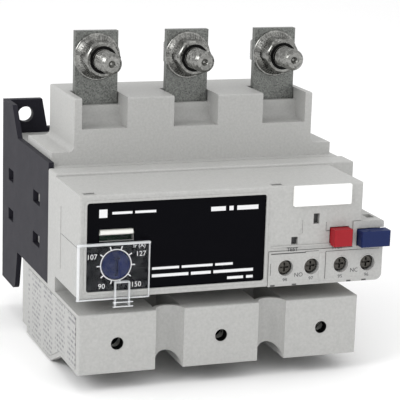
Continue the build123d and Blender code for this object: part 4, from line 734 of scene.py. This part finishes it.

# %% [markdown]
# ## Painted highlights on the edges of the clear cover
# The light that polished plastic pipes to its edges is painted: thin beads along the plate's edges, in a
# pale, denser clear finish, ride on the cover and open with it. The hinge's white sleeve is a rod cut by a
# plane so that it still turns freely.

# %% Clear edges and hinge sleeve
lid_low, lid_high = limits("clear_cover")
plate_top = 54.6
plate_foot = cover_low.z - 0.2
x0, x1 = lid_low.x, lid_high.x
y0, y1 = FACE - 1.32, FACE - 0.33
# Painted highlight: pale beads on the plate's edges and latch stand for the light the clear plastic gathers
# there.
edges = [
    block("edge", (x0, x1), (y0 - 0.5, y1), (plate_top - 0.75, plate_top + 0.02), 0.12),
    block("edge", (x0, x1), (y0, y1), (plate_foot - 0.02, plate_foot + 0.4), 0.1),
    block("edge", (x1 - 0.32, x1 + 0.0), (y0, y1), (plate_foot, plate_top), 0.1),
    block("edge", (x0, x0 + 0.95), (y0, y0 + 0.5), (plate_foot, plate_top), 0.12),
]
latch_x = cover_low.x + 15.5
for dx in (-2.75, 2.45):
    edges.append(block("edge", (latch_x + dx, latch_x + dx + 0.3), (y0 - 0.98, y1),
                       (plate_foot - 2.5, plate_foot + 6.4), 0.08))
for low_rise, high_rise in ((-2.6, -2.2), (-1.0, -0.62)):
    edges.append(block("edge", (latch_x - 3.75, latch_x + 3.75), (y0 - 1.55, y0 - 1.1),
                       (plate_foot + low_rise, plate_foot + high_rise), 0.08))
edges.append(block("edge", (latch_x - 2.7, latch_x + 2.7), (y0 - 0.98, y1),
                   (plate_foot + 6.1, plate_foot + 6.45), 0.08))
paint(join(edges, "cover_painted_edge_highlights"), "painted_edge_highlight", "cover")
pin_low, pin_high = limits("cover_hinge_pin")
hinge_y, hinge_z = (pin_low.y + pin_high.y) / 2, (pin_low.z + pin_high.z) / 2
put_down()
bpy.ops.mesh.primitive_cylinder_add(
    vertices=40, radius=1.64 * MM, depth=12.1 * MM, rotation=(0, math.pi / 2, 0),
    location=Vector(((pin_low.x + pin_high.x) / 2, hinge_y, hinge_z + FOOT)) * MM)
sleeve = bpy.context.object
bpy.ops.object.transform_apply(location=True, rotation=True, scale=True)
bpy.ops.object.mode_set(mode="EDIT")
bpy.ops.mesh.select_all(action="SELECT")
cut_place = Vector((0, hinge_y, hinge_z - 0.1 + FOOT)) * MM
bpy.ops.mesh.bisect(plane_co=cut_place, plane_no=(0, 0, 1), use_fill=True, clear_inner=True)
paint(finish_mesh(sleeve, "hinge_sleeve"), "hinge_white", "cover")
print("cover edges:", len(edges))

# %% [markdown]
# ## Floor, light and camera
# A relay is shown on a plain pale sweep. A soft lamp stands to the left and in front, weaker ones to the
# right and above, and an even white sky fills the shadows so that the grey mouldings keep their shape.

# %% Floor and lights
put_down()
bpy.ops.mesh.primitive_plane_add(size=40.0, location=(0, 0, cad_low.z - 0.0005))
floor = bpy.context.object
floor.name = "floor"
floor_finish = Finish("pale_floor", 0.9)
wash = floor_finish.noise(0.002)
floor_finish.feed("Base Color", floor_finish.blend(wash, tone(250, 250, 250), tone(255, 255, 255)))
floor.data.materials.append(floor_finish.material)


def soft_lamp(name, place, aim, size, power):
    lamp = bpy.data.lights.new(name, "AREA")
    lamp.size, lamp.energy = size, power
    holder = bpy.data.objects.new(name, lamp)
    holder.location = place
    holder.rotation_euler = (Vector(aim) - Vector(place)).to_track_quat("-Z", "Y").to_euler()
    bpy.context.collection.objects.link(holder)


soft_lamp("key_lamp", (-0.95, -0.45, 0.65), (0, -0.06, 0), 0.5, 5.0)
soft_lamp("fill_lamp", (0.5, -1.0, 0.45), (0, -0.06, 0), 0.7, 1.2)
soft_lamp("top_lamp", (0.05, 0.1, 1.0), (0, -0.06, 0), 0.6, 1.6)
sky = bpy.data.worlds.new("white_sky")
sky.use_nodes = True
sky.node_tree.nodes["Background"].inputs[0].default_value = (1, 1, 1, 1)
sky.node_tree.nodes["Background"].inputs[1].default_value = 0.95
bpy.context.scene.world = sky
bpy.context.scene.view_settings.view_transform = "Standard"

# %% Camera
azimuth, elevation, roll = (math.radians(v) for v in (20.31, 13.09, 1.84))
level = math.cos(elevation)
look = Vector((math.sin(azimuth) * level, math.cos(azimuth) * level, -math.sin(elevation)))
side_way = look.cross(Vector((0, 0, 1))).normalized()
up_way = side_way.cross(look)
right_way = side_way * math.cos(roll) + up_way * math.sin(roll)
top_way = up_way * math.cos(roll) - side_way * math.sin(roll)
view = bpy.data.cameras.new("view")
view.lens, view.sensor_width = 151.65, 36
camera = bpy.data.objects.new("view", view)
camera.matrix_world = Matrix((right_way, top_way, -look)).transposed().to_4x4()
camera.location = (-0.21816, -0.66333, 0.15263)
bpy.context.collection.objects.link(camera)
bpy.context.scene.camera = camera
print("camera at", [round(v, 3) for v in camera.location])
